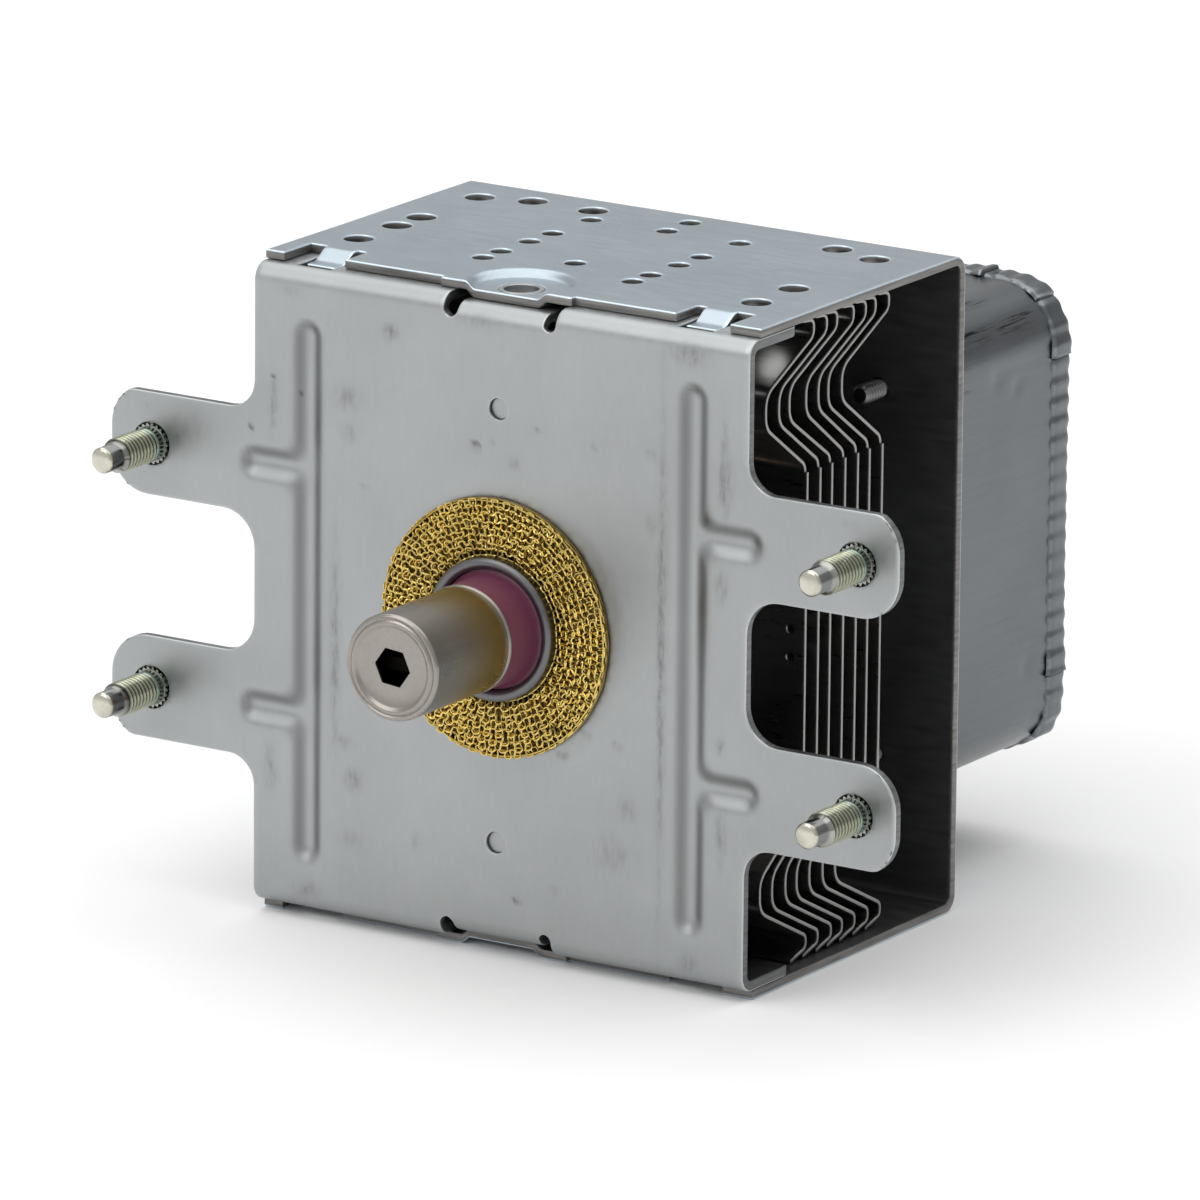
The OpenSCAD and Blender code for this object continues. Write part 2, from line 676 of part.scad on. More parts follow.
// The middle of each flange lies lower, under the yoke's dimple, between two relief slots
module middle_flange_cut() {
    out = slot_x + slot_w / 2;
    for (side = [-1, 1]) rod_y(side * slot_x, slot_z + slot_w / 2, slot_w / 2, -cut, flange_len + cut);
    block(-out, out, -cut, flange_len + cut, slot_z + slot_w / 2, yoke_z);
}
module middle_flange() {
    half = slot_x - slot_w / 2;
    intersection() {
        plate_fold(-half, half, mid_flange_z);
        block(-half, half, 0, flange_len, slot_z - slot_len, yoke_z);
    }
    out = eyelet_r - fit;
    high = plate_t / 2 + yoke_t + 2 * fit;
    translate([pattern_x, dimple_y, mid_flange_z]) difference() {
        cylinder(r = out, h = high, $fn = small_fn);
        translate([0, 0, -cut]) cylinder(r = out - eyelet_wall, h = high + 2 * cut, $fn = small_fn);
    }
}
module ear_outline() {
    tip = ear_end - ear_r;
    low = ear_z - ear_h / 2;
    high = ear_z + ear_h / 2;
    translate([0, low]) square([tip, ear_h]);
    translate([tip, low + ear_r]) square([ear_r, ear_h + ear_cut - 2 * ear_r]);
    translate([tip, low + ear_r]) circle(ear_r, $fn = round_fn);
    intersection() {
        translate([tip, high + ear_cut - ear_r]) circle(ear_r, $fn = round_fn);
        translate([0, low]) square([ear_end, ear_h]);
    }
    translate([plate_half_w, high]) root_fillet(ear_root_out);
    translate([plate_half_w, low]) mirror([0, 1]) root_fillet(ear_root_in);
}
module root_fillet(r) {
    difference() {
        translate([-r, -r]) square(2 * r);
        translate([r, r]) circle(r, $fn = round_fn);
    }
}

// Round bottomed ribs pressed back into the plate: one upright and two short ones on each side
module rib_places(r) {
    level = rib_depth - rib_r;
    half = rib_end - rib_w / 2;
    for (side = [-1, 1]) {
        rib([side * rib_x, level, -half], [side * rib_x, level, half], r);
        for (z = [-ear_z, ear_z])
            rib([side * rib_x, level, z], [side * (rib_x + ear_rib_len), level, z], r);
    }
}
module rib(a, b, r) {
    turn = abs(b.z - a.z) > 0 ? [0, 0, 0] : [0, 90, 0];
    for (end = [a, b]) translate(end) sphere(r, $fn = small_fn);
    translate((a + b) / 2) rotate(turn) cylinder(r = r, h = norm(b - a), center = true, $fn = small_fn);
}
module tab_window(side) {
    x = pattern_x + side * (notch_x - tab_shift);
    half = tab_w / 2 + tab_gap;
    block(x - half, x + half, plate_bend, flange_len + cut, flange_z - plate_t, yoke_z);
}
module stud_places() {
    for (x = [-1, 1], z = [-1, 1]) translate([x * stud_x / 2, 0, z * stud_z / 2]) children();
}

// Four studs, each with a plain point, a knurled ring in the plate and a flat head behind it
module mounting_studs() {
    chamfer = stud_r - point_r;
    shoulder = stud_len - point_len;
    color("darkkhaki") stud_places() turned([
        [0, -stud_len], [point_r - point_edge, -stud_len], [point_r, point_edge - stud_len],
        [point_r, -shoulder], [stud_r, chamfer - shoulder], [stud_r, 0], [knurl_r, 0], [knurl_r, plate_t],
        [stud_head_r, plate_t], [stud_head_r, plate_t + stud_head_t], [0, plate_t + stud_head_t]
    ]);
}

// Knitted wire gasket that closes the gap to the waveguide
module rf_gasket() {
    color("gold") turned(ring(gasket_bore, gasket_r, -gasket_h, 0));
}

// Steel ring with a rolled lip inside the gasket
module gasket_ring() {
    out = ring_r + ring_wall;
    color("darkgray") union() {
        turned(ring(ring_r, out, -ring_h, 0));
        rotate([-90, 0, 0]) rotate_extrude($fn = round_fn)
            translate([ring_r + ring_wall / 2, -ring_h]) circle(lip_r, $fn = small_fn);
    }
}

// Drawn cap over the exhaust tube, with a recessed end and a six sided hole
module antenna_cap() {
    side = cap_r - cap_round;
    front = cap_round - cap_tip;
    corner = [for (a = [0:15:90]) [side + cap_round * cos(a), front - cap_round * sin(a)]];
    recess_r = cap_r - 2 * cap_round;
    inner = cap_r - cap_wall;
    bead_r = cap_r + cap_bead;
    bead_y = -cap_base - cap_bead_w;
    color("rosybrown") difference() {
        turned(concat(
            [[inner, -cap_base], [bead_r, -cap_base], [bead_r, bead_y], [cap_r, bead_y - cap_bead]],
            corner,
            [[recess_r, -cap_tip], [recess_r - cap_recess / 2, -cap_end], [0, -cap_end]],
            [[0, cap_wall - cap_end], [inner - cap_round, cap_wall - cap_end]],
            [[inner, cap_wall + cap_round - cap_end]]
        ));
        translate([0, -cap_end, 0]) rotate([90, 30, 0])
            cylinder(r = hex_r, h = 4 * cap_wall, center = true, $fn = 6);
    }
}
module cap_collar() {
    color("lightgray") turned(ring(collar_hole_r, ceramic_r - collar_t, -cap_base, -ceramic_tip));
}
module output_ceramic() {
    color("palevioletred") turned(ring(ceramic_bore, ceramic_r, -ceramic_tip, seal_depth));
}

// Copper tube that was pinched flat to close the evacuated space
module exhaust_tube() {
    color("peru") union() {
        turned(ring(exhaust_r - exhaust_wall, exhaust_r, -pinch_y, exhaust_in - ceramic_tip));
        intersection() {
            turned(ring(0, exhaust_r, -pinch_y - pinch_len, -pinch_y));
            bar(-exhaust_r, exhaust_r) polygon([
                [-pinch_y, -exhaust_r], [-pinch_y - pinch_len, -exhaust_wall],
                [-pinch_y - pinch_len, exhaust_wall], [-pinch_y, exhaust_r]
            ]);
        }
    }
}

// Copper rod from one vane through the pole piece to the pinched tube
module antenna_lead() {
    route = [[vane_y - fit, lead_z], [hub_y - pole_t, lead_z], [anode_y - 2 * lead_r, seal_bore / 2],
             [anode_y - magnet_t / 2, 0], [fit - pinch_y, 0]];
    path = [for (p = bent(route, 2 * lead_r)) [0, p.x, p.y]];
    color("sandybrown") wire(path, lead_r, [1, 0, 0], 12);
}

// Thin cups that close the anode and carry the two ceramics
module output_seal() {
    color("slategray") turned([
        [seal_bore, anode_y], [anode_r, anode_y], [anode_r, anode_y - seal_t], [seal_r, anode_y - seal_t],
        [seal_r, seal_depth], [seal_lip_r, seal_depth], [seal_lip_r, seal_depth + seal_t],
        [seal_bore, seal_depth + seal_t]
    ]);
}
module input_seal() {
    color("slategray") turned([
        [seal_bore, anode_end], [anode_r, anode_end], [anode_r, magnet_2_y], [seal_r, magnet_2_y],
        [seal_r, stem_y], [seal_lip_r, stem_y], [seal_lip_r, stem_y - seal_t], [seal_bore, stem_y - seal_t]
    ]);
}

// Iron funnels that lead the magnets' field to the vanes
module pole_piece() {
    turned([
        [pole_hole_r, hub_y], [pole_cone_in, hub_y], [pole_cone_out, anode_y + pole_t],
        [pole_seat_r - fit, anode_y + pole_t], [pole_seat_r - fit, anode_y], [pole_cone_out, anode_y],
        [pole_cone_in, hub_y - pole_t], [pole_hole_r, hub_y - pole_t]
    ]);
}
module output_pole() {
    color("dimgray") difference() {
        pole_piece();
        rod_y(0, lead_z, lead_r + lead_gap, anode_y - cut, hub_y + cut);
    }
}
module input_pole() {
    color("dimgray") translate([0, 2 * mid_y, 0]) mirror([0, 1, 0]) pole_piece();
}

// Copper cylinder with a seat for a pole piece at each end
module anode_cylinder() {
    color("chocolate") turned([
        [anode_in, anode_y + pole_t], [pole_seat_r, anode_y + pole_t], [pole_seat_r, anode_y],
        [anode_r, anode_y], [anode_r, anode_end], [pole_seat_r, anode_end], [pole_seat_r, anode_end - pole_t],
        [anode_in, anode_end - pole_t]
    ]);
}

// A copper vane: each strap ring rests on every other vane and clears the ones between
module anode_vane(i) {
    between = (strap_in_r + strap_out_r) / 2;
    color("sienna") rotate([0, 360 * i / vane_count - 90, 0]) difference() {
        block(vane_tip_r, anode_in - fit, vane_y, vane_y + vane_h, -vane_t / 2, vane_t / 2);
        strap_notch(strap_in_r - strap_w / 2 - strap_gap, between, i % 2 == 0 ? 0 : strap_gap);
        strap_notch(between, strap_out_r + strap_w / 2 + strap_gap, i % 2 == 0 ? strap_gap : 0);
    }
}
module strap_notch(r0, r1, extra) {
    deep = strap_h + extra;
    block(r0, r1, vane_y - cut, vane_y + deep, -vane_t, vane_t);
    block(r0, r1, vane_y + vane_h - deep, vane_y + vane_h + cut, -vane_t, vane_t);
}
module strap(r, y) {
    color("tan") turned(ring(r - strap_w / 2, r + strap_w / 2, y, y + strap_h));
}

// Cathode: a coiled filament between two hats, on a centre lead and a side lead
module filament() {
    steps = 16;
    first = hat_y + filament_wire + fit;
    rise = filament_len - 2 * (filament_wire + fit);
    path = [
        for (k = [0:filament_turns * steps])
            let (a = 360 * k / steps)
            [filament_r * cos(a), first + rise * k / (filament_turns * steps), filament_r * sin(a)]
    ];
    color("darkslategray") wire(path, filament_wire, [0, 1, 0], 6);
}
module front_end_hat() {
    color("gray") turned(ring(cathode_lead_r + fit, hat_r, hat_y - hat_t, hat_y));
}
module rear_end_hat() {
    back = hat_y + filament_len;
    color("gray") turned(ring(cathode_lead_r + hat_gap, hat_r, back, back + hat_t));
}
module centre_lead() {
    color("gray") rod_y(0, 0, cathode_lead_r, hat_y - hat_t, strip_y);
}
module side_lead() {
    color("gray") rod_y(0, -side_lead_z, cathode_lead_r, hat_y + filament_len + hat_t, strip_y);
}
module lead_bores(y0, y1) {
    rod_y(0, 0, cathode_lead_r + fit, y0, y1);
    rod_y(0, -side_lead_z, cathode_lead_r + fit, y0, y1);
}
module cathode_stem() {
    color("mistyrose") difference() {
        turned(ring(0, stem_r, stem_y, stem_end));
        lead_bores(stem_y - cut, stem_end + cut);
    }
}
module centre_strip() {
    color("lightsteelblue") difference() {
        block(-strip_w / 2, strip_w / 2, stem_end, strip_y, -strip_side, strip_end);
        lead_bores(stem_end - cut, strip_y + cut);
    }
}
module side_strip() {
    color("lightsteelblue") difference() {
        block(-strip_w / 2, strip_w / 2, stem_end, strip_y, -strip_end, strip_side - side_lead_z);
        lead_bores(stem_end - cut, strip_y + cut);
    }
}

// Ring magnets on both sides of the anode
module front_magnet() {
    color("darkslategray") turned(ring(magnet_bore, magnet_r, magnet_1_y, magnet_1_y + magnet_t));
}
module rear_magnet() {
    color("darkslategray") turned(ring(magnet_bore, magnet_r, magnet_2_y, magnet_2_y + magnet_t));
}

// A thin sheet with a collar on the anode: slopes, arms and a curl at the top, a slanting edge below
function fin_y(i) = mid_y + (i - (fin_count + 1) / 2) * fin_pitch + pick(fin_shift, i);
function pick(list, i) = list[(i - 1) % len(list)];
function fin_path(i) =
    let (y = fin_y(i), up = y + pick(fin_lean_up, i), low = y + pick(fin_lean_low, i))
    [
        [low + fin_curl - fin_foot, -fin_end_z], [low + fin_curl, -fin_end_z + fin_foot_rise],
        [low + fin_curl, -fin_end_z + fin_foot_rise + fin_curl_h], [low - fin_reach, -fin_arm_z],
        [low - fin_reach, -fin_slope_z], [y, -fin_flat], [y, fin_flat], [up - fin_reach, fin_slope_z],
        [up - fin_reach, fin_arm_z], [up + fin_curl, fin_end_z - fin_curl_h], [up + fin_curl, fin_end_z],
        [up + fin_curl - fin_flange, fin_end_z]
    ];
module cooling_fin(i) {
    y = fin_y(i);
    bore = anode_r + fit;
    out = fin_half_w + fin_step;
    color("whitesmoke") difference() {
        union() {
            bar(-out, out) polygon(sheet(bent(fin_path(i), fin_bend), fin_t));
            turned(ring(bore - fin_t / 2, bore + fin_t, y, y + fin_t / 2 + fin_collar));
        }
        turned(ring(0, bore, y - fin_t, y + fin_pitch));
        for (z = [-fin_hole_pitch / 2, fin_hole_pitch / 2])
            rod_y(fin_half_w - fin_hole_in, z - fin_hole_low, fin_hole_r, y - fin_t, y + fin_t);
        for (side = [0, 1]) mirror([side, 0, 0]) both_plates()
            block(fin_half_w, out + cut, y - 2 * fin_reach, y + fin_reach, fin_step_z, yoke_z);
    }
}

// Drawn box behind the yoke that holds the filter, open at the back
module filter_box() {
    inner_w = box_w - 2 * box_wall;
    inner_h = box_h - 2 * box_wall;
    color("lightgray") difference() {
        slab(yoke_d, box_end) rounded_rect(box_w, box_h, box_r);
        slab(yoke_d + box_wall, box_end + cut) rounded_rect(inner_w, inner_h, box_r - box_wall);
        turned(ring(0, stem_hole_r, yoke_d - cut, yoke_d + box_wall + cut));
        case_screw_places(screw_r + fit, yoke_d - cut, yoke_d + box_wall + cut);
        capacitor_section(wall_x - cut, wall_x + box_wall + cut, capacitor_r + fit);
        rivet_places(rivet_r + fit, wall_x - cut, wall_x + box_wall + cut);
    }
}

// Lid with a rim folded over the box's edge
module filter_lid() {
    in_w = box_w + 2 * lid_gap;
    in_h = box_h + 2 * lid_gap;
    in_r = box_r + lid_gap;
    color("lightgray") difference() {
        slab(lid_end - lid_rim, lid_end)
            rounded_rect(in_w + 2 * lid_wall, in_h + 2 * lid_wall, in_r + lid_wall);
        slab(lid_end - lid_rim - cut, box_end) rounded_rect(in_w, in_h, in_r);
    }
}
module case_screw_places(r, y0, y1) {
    for (x = [-1, 1], z = [-1, 1]) rod_y(x * case_screw_x, z * case_screw_z, r, y0, y1);
}
module case_screws() {
    seat = yoke_d + box_wall;
    color("dimgray") union() {
        case_screw_places(screw_r, seat - screw_len, seat + cut);
        case_screw_places(screw_head_r, seat, seat + screw_head_h);
    }
}

// A choke: wire from a cathode strip, wound on a ferrite core and led to a capacitor pin
module choke_coil(i) {
    steps = 14;
    start_z = strip_end - strip_margin - coil_wire;
    near_y = choke_at_y - coil_r;
    path = concat(
        [[0, strip_y + fit, start_z], [0, (strip_y + near_y) / 2, start_z]],
        [[0, near_y, choke_z - coil_r]],
        [for (k = [0:coil_all_turns * steps])
            let (a = 360 * k / steps)
            [-coil_pitch * k / steps, choke_at_y - coil_r * cos(a), choke_z + coil_r * sin(a)]],
        [[coil_end_x, capacitor_y, terminal_pitch / 2 + pin_r + fit]]
    );
    color("orangered") mirror([0, 0, i - 1]) wire(path, coil_wire, [1, 0, 0]);
}
module choke_core(i) {
    color("black") mirror([0, 0, i - 1])
        rod_x(choke_at_y, choke_z, core_r, coil_end_x - core_over, core_over);
}

// Feed through capacitor on the side of the box: body, plate, rivets and two tabs with inner pins
module capacitor_section(x0, x1, r) {
    half = terminal_pitch / 2;
    bar(x0, x1) {
        for (z = [-half, half]) translate([capacitor_y, z]) circle(r, $fn = round_fn);
        translate([capacitor_y - r, -half]) square([2 * r, 2 * half]);
    }
}
module capacitor_body() {
    inside = wall_x + box_wall + capacitor_in;
    color("cornsilk") difference() {
        capacitor_section(fixing_x - capacitor_out, inside, capacitor_r);
        for (z = [-terminal_pitch / 2, terminal_pitch / 2])
            rod_x(capacitor_y, z, pin_r + fit, fixing_x - capacitor_out - cut, inside + cut);
    }
}
module capacitor_plate() {
    color("lightgray") difference() {
        bar(fixing_x, wall_x) translate([capacitor_y, 0]) rounded_rect(fixing_w, fixing_h, fixing_r);
        capacitor_section(fixing_x - cut, wall_x + cut, capacitor_r + fit);
        rivet_places(rivet_r + fit, fixing_x - cut, wall_x + cut);
    }
}
module rivet_places(r, x0, x1) {
    for (z = [-rivet_z, rivet_z]) rod_x(capacitor_y, z, r, x0, x1);
}
module capacitor_rivets() {
    inside = wall_x + box_wall;
    color("gainsboro") union() {
        rivet_places(rivet_r, fixing_x - cut / 2, inside + cut / 2);
        rivet_places(rivet_head_r, fixing_x - rivet_head_h, fixing_x);
        rivet_places(rivet_head_r, inside, inside + rivet_head_h);
    }
}
module tab_terminal(i) {
    z = (i == 1 ? 1 : -1) * terminal_pitch / 2;
    out = fixing_x - capacitor_out;
    color("lightsteelblue") union() {
        block(out - terminal_len, out, capacitor_y - terminal_t / 2, capacitor_y + terminal_t / 2,
              z - terminal_w / 2, z + terminal_w / 2);
        rod_x(capacitor_y, z, pin_r, out - cut, pin_end_x);
    }
}

yoke();
front_plate();
mounting_studs();
rf_gasket();
gasket_ring();
antenna_cap();
cap_collar();
output_ceramic();
exhaust_tube();
antenna_lead();
output_seal();
output_pole();
anode_cylinder();
strap(strap_in_r, vane_y);  // strap_front_inner
strap(strap_out_r, vane_y);  // strap_front_outer
strap(strap_in_r, vane_y + vane_h - strap_h);  // strap_rear_inner
strap(strap_out_r, vane_y + vane_h - strap_h);  // strap_rear_outer
input_pole();
input_seal();
filament();
front_end_hat();
rear_end_hat();
centre_lead();
side_lead();
cathode_stem();
centre_strip();
side_strip();
front_magnet();
rear_magnet();
filter_box();
filter_lid();
case_screws();
capacitor_body();
capacitor_plate();
capacitor_rivets();
for (i = [1:vane_count]) anode_vane(i);
for (i = [1:fin_count]) cooling_fin(i);
for (i = [1:2]) choke_coil(i);
for (i = [1:2]) choke_core(i);
for (i = [1:2]) tab_terminal(i);
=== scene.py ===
"""Looks of a magnetron tube with its yoke, cooling fins and filter box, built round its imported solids."""

import math

import bmesh
import bpy
import numpy as np
from bpy.props import FloatProperty, FloatVectorProperty, IntProperty, PointerProperty
from mathutils import Matrix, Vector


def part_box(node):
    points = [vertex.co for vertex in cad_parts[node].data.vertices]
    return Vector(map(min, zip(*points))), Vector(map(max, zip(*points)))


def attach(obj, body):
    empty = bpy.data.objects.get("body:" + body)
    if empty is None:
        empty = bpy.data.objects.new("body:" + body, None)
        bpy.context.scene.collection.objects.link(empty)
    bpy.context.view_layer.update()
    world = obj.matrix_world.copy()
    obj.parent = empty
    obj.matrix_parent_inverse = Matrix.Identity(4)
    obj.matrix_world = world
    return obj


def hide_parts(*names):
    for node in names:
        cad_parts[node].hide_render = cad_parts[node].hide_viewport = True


bl_info = {
    "name": "Magnetron",
    "version": (1, 0, 0),
    "blender": (4, 5, 0),
    "location": "View3D > Sidebar > Magnetron",
    "description": "Dresses the solids of a magnetron with its pressed sheets, threads, mesh gasket and finishes",
    "category": "Object",
}

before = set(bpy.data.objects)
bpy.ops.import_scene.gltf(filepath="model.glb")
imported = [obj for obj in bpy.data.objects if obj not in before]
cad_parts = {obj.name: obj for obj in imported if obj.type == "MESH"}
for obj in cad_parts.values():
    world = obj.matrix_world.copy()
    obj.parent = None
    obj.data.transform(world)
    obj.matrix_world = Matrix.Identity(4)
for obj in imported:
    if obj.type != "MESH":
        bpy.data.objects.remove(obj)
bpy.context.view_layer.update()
MM = 0.001
BODY = "root"
SEAM = 1e-7
SHARP_ANGLE = math.radians(40)


def box_mm(node):
    """Lowest and highest corner of a node in millimetres."""
    low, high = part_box(node)
    return np.array(low) / MM, np.array(high) / MM


YOKE_LOW, YOKE_HIGH = box_mm("yoke")
PLATE_HIGH = box_mm("front_plate")[1]
GASKET_LOW, GASKET_HIGH = box_mm("rf_gasket")
CAP_LOW = box_mm("antenna_cap")[0]
CASE_LOW, CASE_HIGH = box_mm("filter_box")
LID_LOW, LID_HIGH = box_mm("filter_lid")
SCREW_LOW, SCREW_HIGH = box_mm("case_screws")
CAD_STUD_TIP = box_mm("mounting_studs")[0][1]


# Sizes and colours that a user would change


def length(name, default, text):
    """A length in millimetres that the sidebar shows."""
    return FloatProperty(name=name, description=text, default=default, min=0.0, soft_max=10 * max(default, 1.0))


def colour(name, default, text):
    """A colour that the sidebar shows."""
    return FloatVectorProperty(name=name, description=text, default=default, size=3, min=0.0, max=1.0, subtype="COLOR")


class SheetSizes(bpy.types.PropertyGroup):
    """Sizes of the pressed steel sheets, in millimetres."""

    cell: length("Cell", 0.75, "Spacing of the points on the sheets")
    fine: length("Fine cell", 0.42, "Spacing of the points on pressed and bent places")
    edge: length("Edge", 0.2, "Rounding of the sheared edges")
    rib_width: length("Rib width", 6.0, "Width of the pressed ribs with their soft edges")
    rib_wall: length("Rib wall", 2.9, "Width of a rib's soft wall")
    rib_depth: length("Rib depth", 1.05, "Depth of the pressed ribs")
    ripple: length("Ripple", 0.03, "Unevenness of the pressed sheets")


class ThreadSizes(bpy.types.PropertyGroup):
    """Sizes of the threads and the knurled rings, in millimetres."""

    pitch: length("Pitch", 0.8, "Pitch of the studs' thread")
    depth: length("Depth", 0.46, "Depth of the studs' thread")
    screw_pitch: length("Screw pitch", 0.75, "Pitch of the case screws' thread")
    teeth: IntProperty(name="Teeth", description="Teeth of the ring round each stud", default=22, min=6, max=40)


class GasketSizes(bpy.types.PropertyGroup):
    """Sizes of the knitted wire gasket, in millimetres."""

    wire: length("Wire", 0.15, "Radius of the knitted wire")
    rows: IntProperty(name="Rows", description="Rows of stitches", default=8, min=3, max=12)
    stitch: length("Stitch", 1.9, "Width of a stitch")


class LidSizes(bpy.types.PropertyGroup):
    """Sizes of the lid's crimped rim, in millimetres."""

    pitch: length("Pitch", 2.9, "Distance between two crimps")
    height: length("Height", 0.24, "Height of a crimp")
    pleat: length("Pleat", 0.48, "Height of a fold at a corner")


class Finishes(bpy.types.PropertyGroup):
    """Colours of the finishes."""

    plate: colour("Front plate", (0.392, 0.405, 0.408), "Zinc plated front plate")
    yoke: colour("Yoke", (0.42, 0.482, 0.527), "Galvanised yoke")
    stud: colour("Studs", (0.385, 0.405, 0.3), "Yellow passivated studs")
    brass: colour("Gasket", (0.86, 0.63, 0.19), "Brass wire of the gasket")
    cap: colour("Antenna cap", (0.33, 0.306, 0.28), "Drawn cap")
    tint: colour("Heat tint", (0.27, 0.225, 0.152), "Heat tint at the cap's base")
    ceramic: colour("Ceramic", (0.17, 0.045, 0.085), "Output ceramic")
    fin: colour("Fins", (0.29, 0.287, 0.28), "Bare aluminium fins")
    case: colour("Filter box", (0.148, 0.159, 0.168), "Drawn aluminium box")


# Shapes worked out as arrays


def grid_quads(rows, cols, wrap_rows=False, wrap_cols=False):
    """Quads between neighbouring points of a grid of rows by cols, closed round where it wraps."""
    i, j = np.meshgrid(np.arange(rows - (not wrap_rows)), np.arange(cols - (not wrap_cols)), indexing="ij")
    k, m = (i + 1) % rows, (j + 1) % cols
    return np.stack([i * cols + j, i * cols + m, k * cols + m, k * cols + j], -1).reshape(-1, 4)


def arc(x, y, r, start, end, count=12):
    """Points of a circle of radius r about (x, y), from one angle in degrees to another."""
    a = np.radians(np.linspace(start, end, count))
    return np.stack([x + r * np.cos(a), y + r * np.sin(a)], -1)


def circle(x, y, r, count=36):
    """A closed circle about (x, y)."""
    return arc(x, y, r, 0, 360 * (count - 1) / count, count)


def smooth(value):
    """Zero below 0, one above 1, and 3 v^2 - 2 v^3 between."""
    v = np.clip(value, 0, 1)
    return v * v * (3 - 2 * v)


def chain(*parts):
    """Lists and arrays one after the other, as one array."""
    return np.concatenate(parts)


def unit(v):
    """Directions of length one."""
    return v / np.maximum(np.linalg.norm(v, axis=-1, keepdims=True), 1e-9)


def lengths(line):
    """The way along a line from its first point to each of its points."""
    return chain([0], np.cumsum(np.linalg.norm(np.diff(line, axis=0), axis=1)))


def follow(at, run, line):
    """Points or directions on a line at the given ways along it."""
    return np.stack([np.interp(at, run, line[:, k]) for k in (0, 1)], -1)


def four(x, z):
    """The four places (+-x, +-z)."""
    return [(a, b) for a in (-x, x) for b in (-z, z)]


def waves(x, z, seed):
    """An even unevenness between about -1 and 1: three sine waves of different lengths and directions."""
    s = seed * 1.7
    return (
        np.sin(0.11 * x + 0.07 * z + s) + np.sin(0.05 * x - 0.13 * z + 2.1 * s) + np.sin(0.19 * x + 0.16 * z + 3.3 * s)
    ) / 3


def scatter(count, seed):
    """Numbers between -1 and 1 that look random and are the same each time: the fraction of a large sine."""
    v = np.sin(np.arange(count) * 12.9898 + seed * 78.233) * 43758.5453
    return 2 * (v - np.floor(v)) - 1


def wound(loop, forward):
    """A closed outline that runs anticlockwise where forward is set, and clockwise where it isn't."""
    x, y = loop[:, 0], loop[:, 1]
    area = (x * np.roll(y, -1) - np.roll(x, -1) * y).sum()
    return loop if (area > 0) == forward else loop[::-1]


def nearest_on(loops, points):
    """For each point its nearest point on closed outlines, that edge's number, the distance, and if it is inside."""
    a = np.concatenate(loops)
    b = np.concatenate([np.roll(loop, -1, axis=0) for loop in loops])
    d = b - a
    square = np.maximum((d * d).sum(1), 1e-12)
    slope = d[:, 0] / np.where(np.abs(d[:, 1]) < 1e-9, 1e-9, d[:, 1])
    near, number, gap, inside = [], [], [], []
    for part in np.array_split(points, max(1, len(points) // 4000)):
        p = part[:, None]
        t = np.clip(((p - a) * d).sum(-1) / square, 0, 1)
        q = a + t[..., None] * d
        e = ((p - q) ** 2).sum(-1)
        best = e.argmin(1)
        rows = np.arange(len(part))
        near.append(q[rows, best])
        number.append(best)
        gap.append(np.sqrt(e[rows, best]))
        crossed = (a[:, 1] > p[..., 1]) != (b[:, 1] > p[..., 1])
        left = p[..., 0] < a[:, 0] + (p[..., 1] - a[:, 1]) * slope
        inside.append((crossed & left).sum(1) % 2 == 1)
    return np.concatenate(near), np.concatenate(number), np.concatenate(gap), np.concatenate(inside)


def spaced(low, high, cell, *fine):
    """Rising coordinates from low to high, a cell apart, and closer within each fine stretch (from, to, cell)."""
    t = np.linspace(low, high, 4001)
    size = np.full(t.shape, cell)
    for start, end, small in fine:
        size[(t > start) & (t < end)] = small
    run = chain([0], np.cumsum(np.diff(t) / size[1:]))
    return np.interp(np.linspace(0, run[-1], int(np.ceil(run[-1])) + 1), run, t)


def mirrored(cell, *stretches):
    """Fine stretches (from, to) on both sides of zero, for spaced."""
    return [stretch for a, b in stretches for stretch in ((-b, -a, cell), (a, b, cell))]


def trimmed_grid(loops, across, along):
    """A flat pattern on a grid of two rows of coordinates: points within half a cell of an outline move onto it.

    Cells with all four corners inside stay quads, those with three become triangles, the rest are dropped, and the
    points along the cut that are left move onto the outline too. The first outline is the sheet's, the rest its holes.
    """
    loops = [wound(loop, k == 0) for k, loop in enumerate(loops)]
    run = np.concatenate([np.roll(loop, -1, axis=0) - loop for loop in loops])
    out = unit(np.stack([run[:, 1], -run[:, 0]], -1))
    nx, ny = np.arange(len(across)), np.arange(len(along))
    cells = [np.stack([np.interp(p[:, 0], across, nx), np.interp(p[:, 1], along, ny)], -1) for p in loops]
    i, j = np.meshgrid(nx, ny, indexing="ij")
    flat = np.stack([i.ravel(), j.ravel()], -1).astype(float)
    near, number, gap, inside = nearest_on(cells, flat)
    on = gap < 0.499
    flat[on] = near[on]
    kept = inside | on
    quads = grid_quads(len(across), len(along))
    count = kept[quads].sum(1)
    quads, count = quads[count > 2], count[count > 2]
    whole = quads[count == 4]
    whole = whole[nearest_on(cells, flat[whole].mean(1))[3]]
    three = quads[count == 3]
    corner = three[kept[three]].reshape(-1, 3)
    corner = corner[nearest_on(cells, flat[corner].mean(1))[3]]
    edges = np.concatenate([np.stack([f, np.roll(f, -1, axis=1)], -1).reshape(-1, 2) for f in (whole, corner)])
    cut = edges[~np.isin(edges[:, 0] * len(flat) + edges[:, 1], edges[:, 1] * len(flat) + edges[:, 0])]
    rim = np.unique(cut)
    flat[rim] = near[rim]
    used = np.unique(edges)
    index = np.zeros(len(flat), int)
    index[used] = np.arange(len(used))
    flat = np.stack([np.interp(flat[used, 0], nx, across), np.interp(flat[used, 1], ny, along)], -1)
    return flat, out[number[used]], index[whole], index[corner], index[cut]


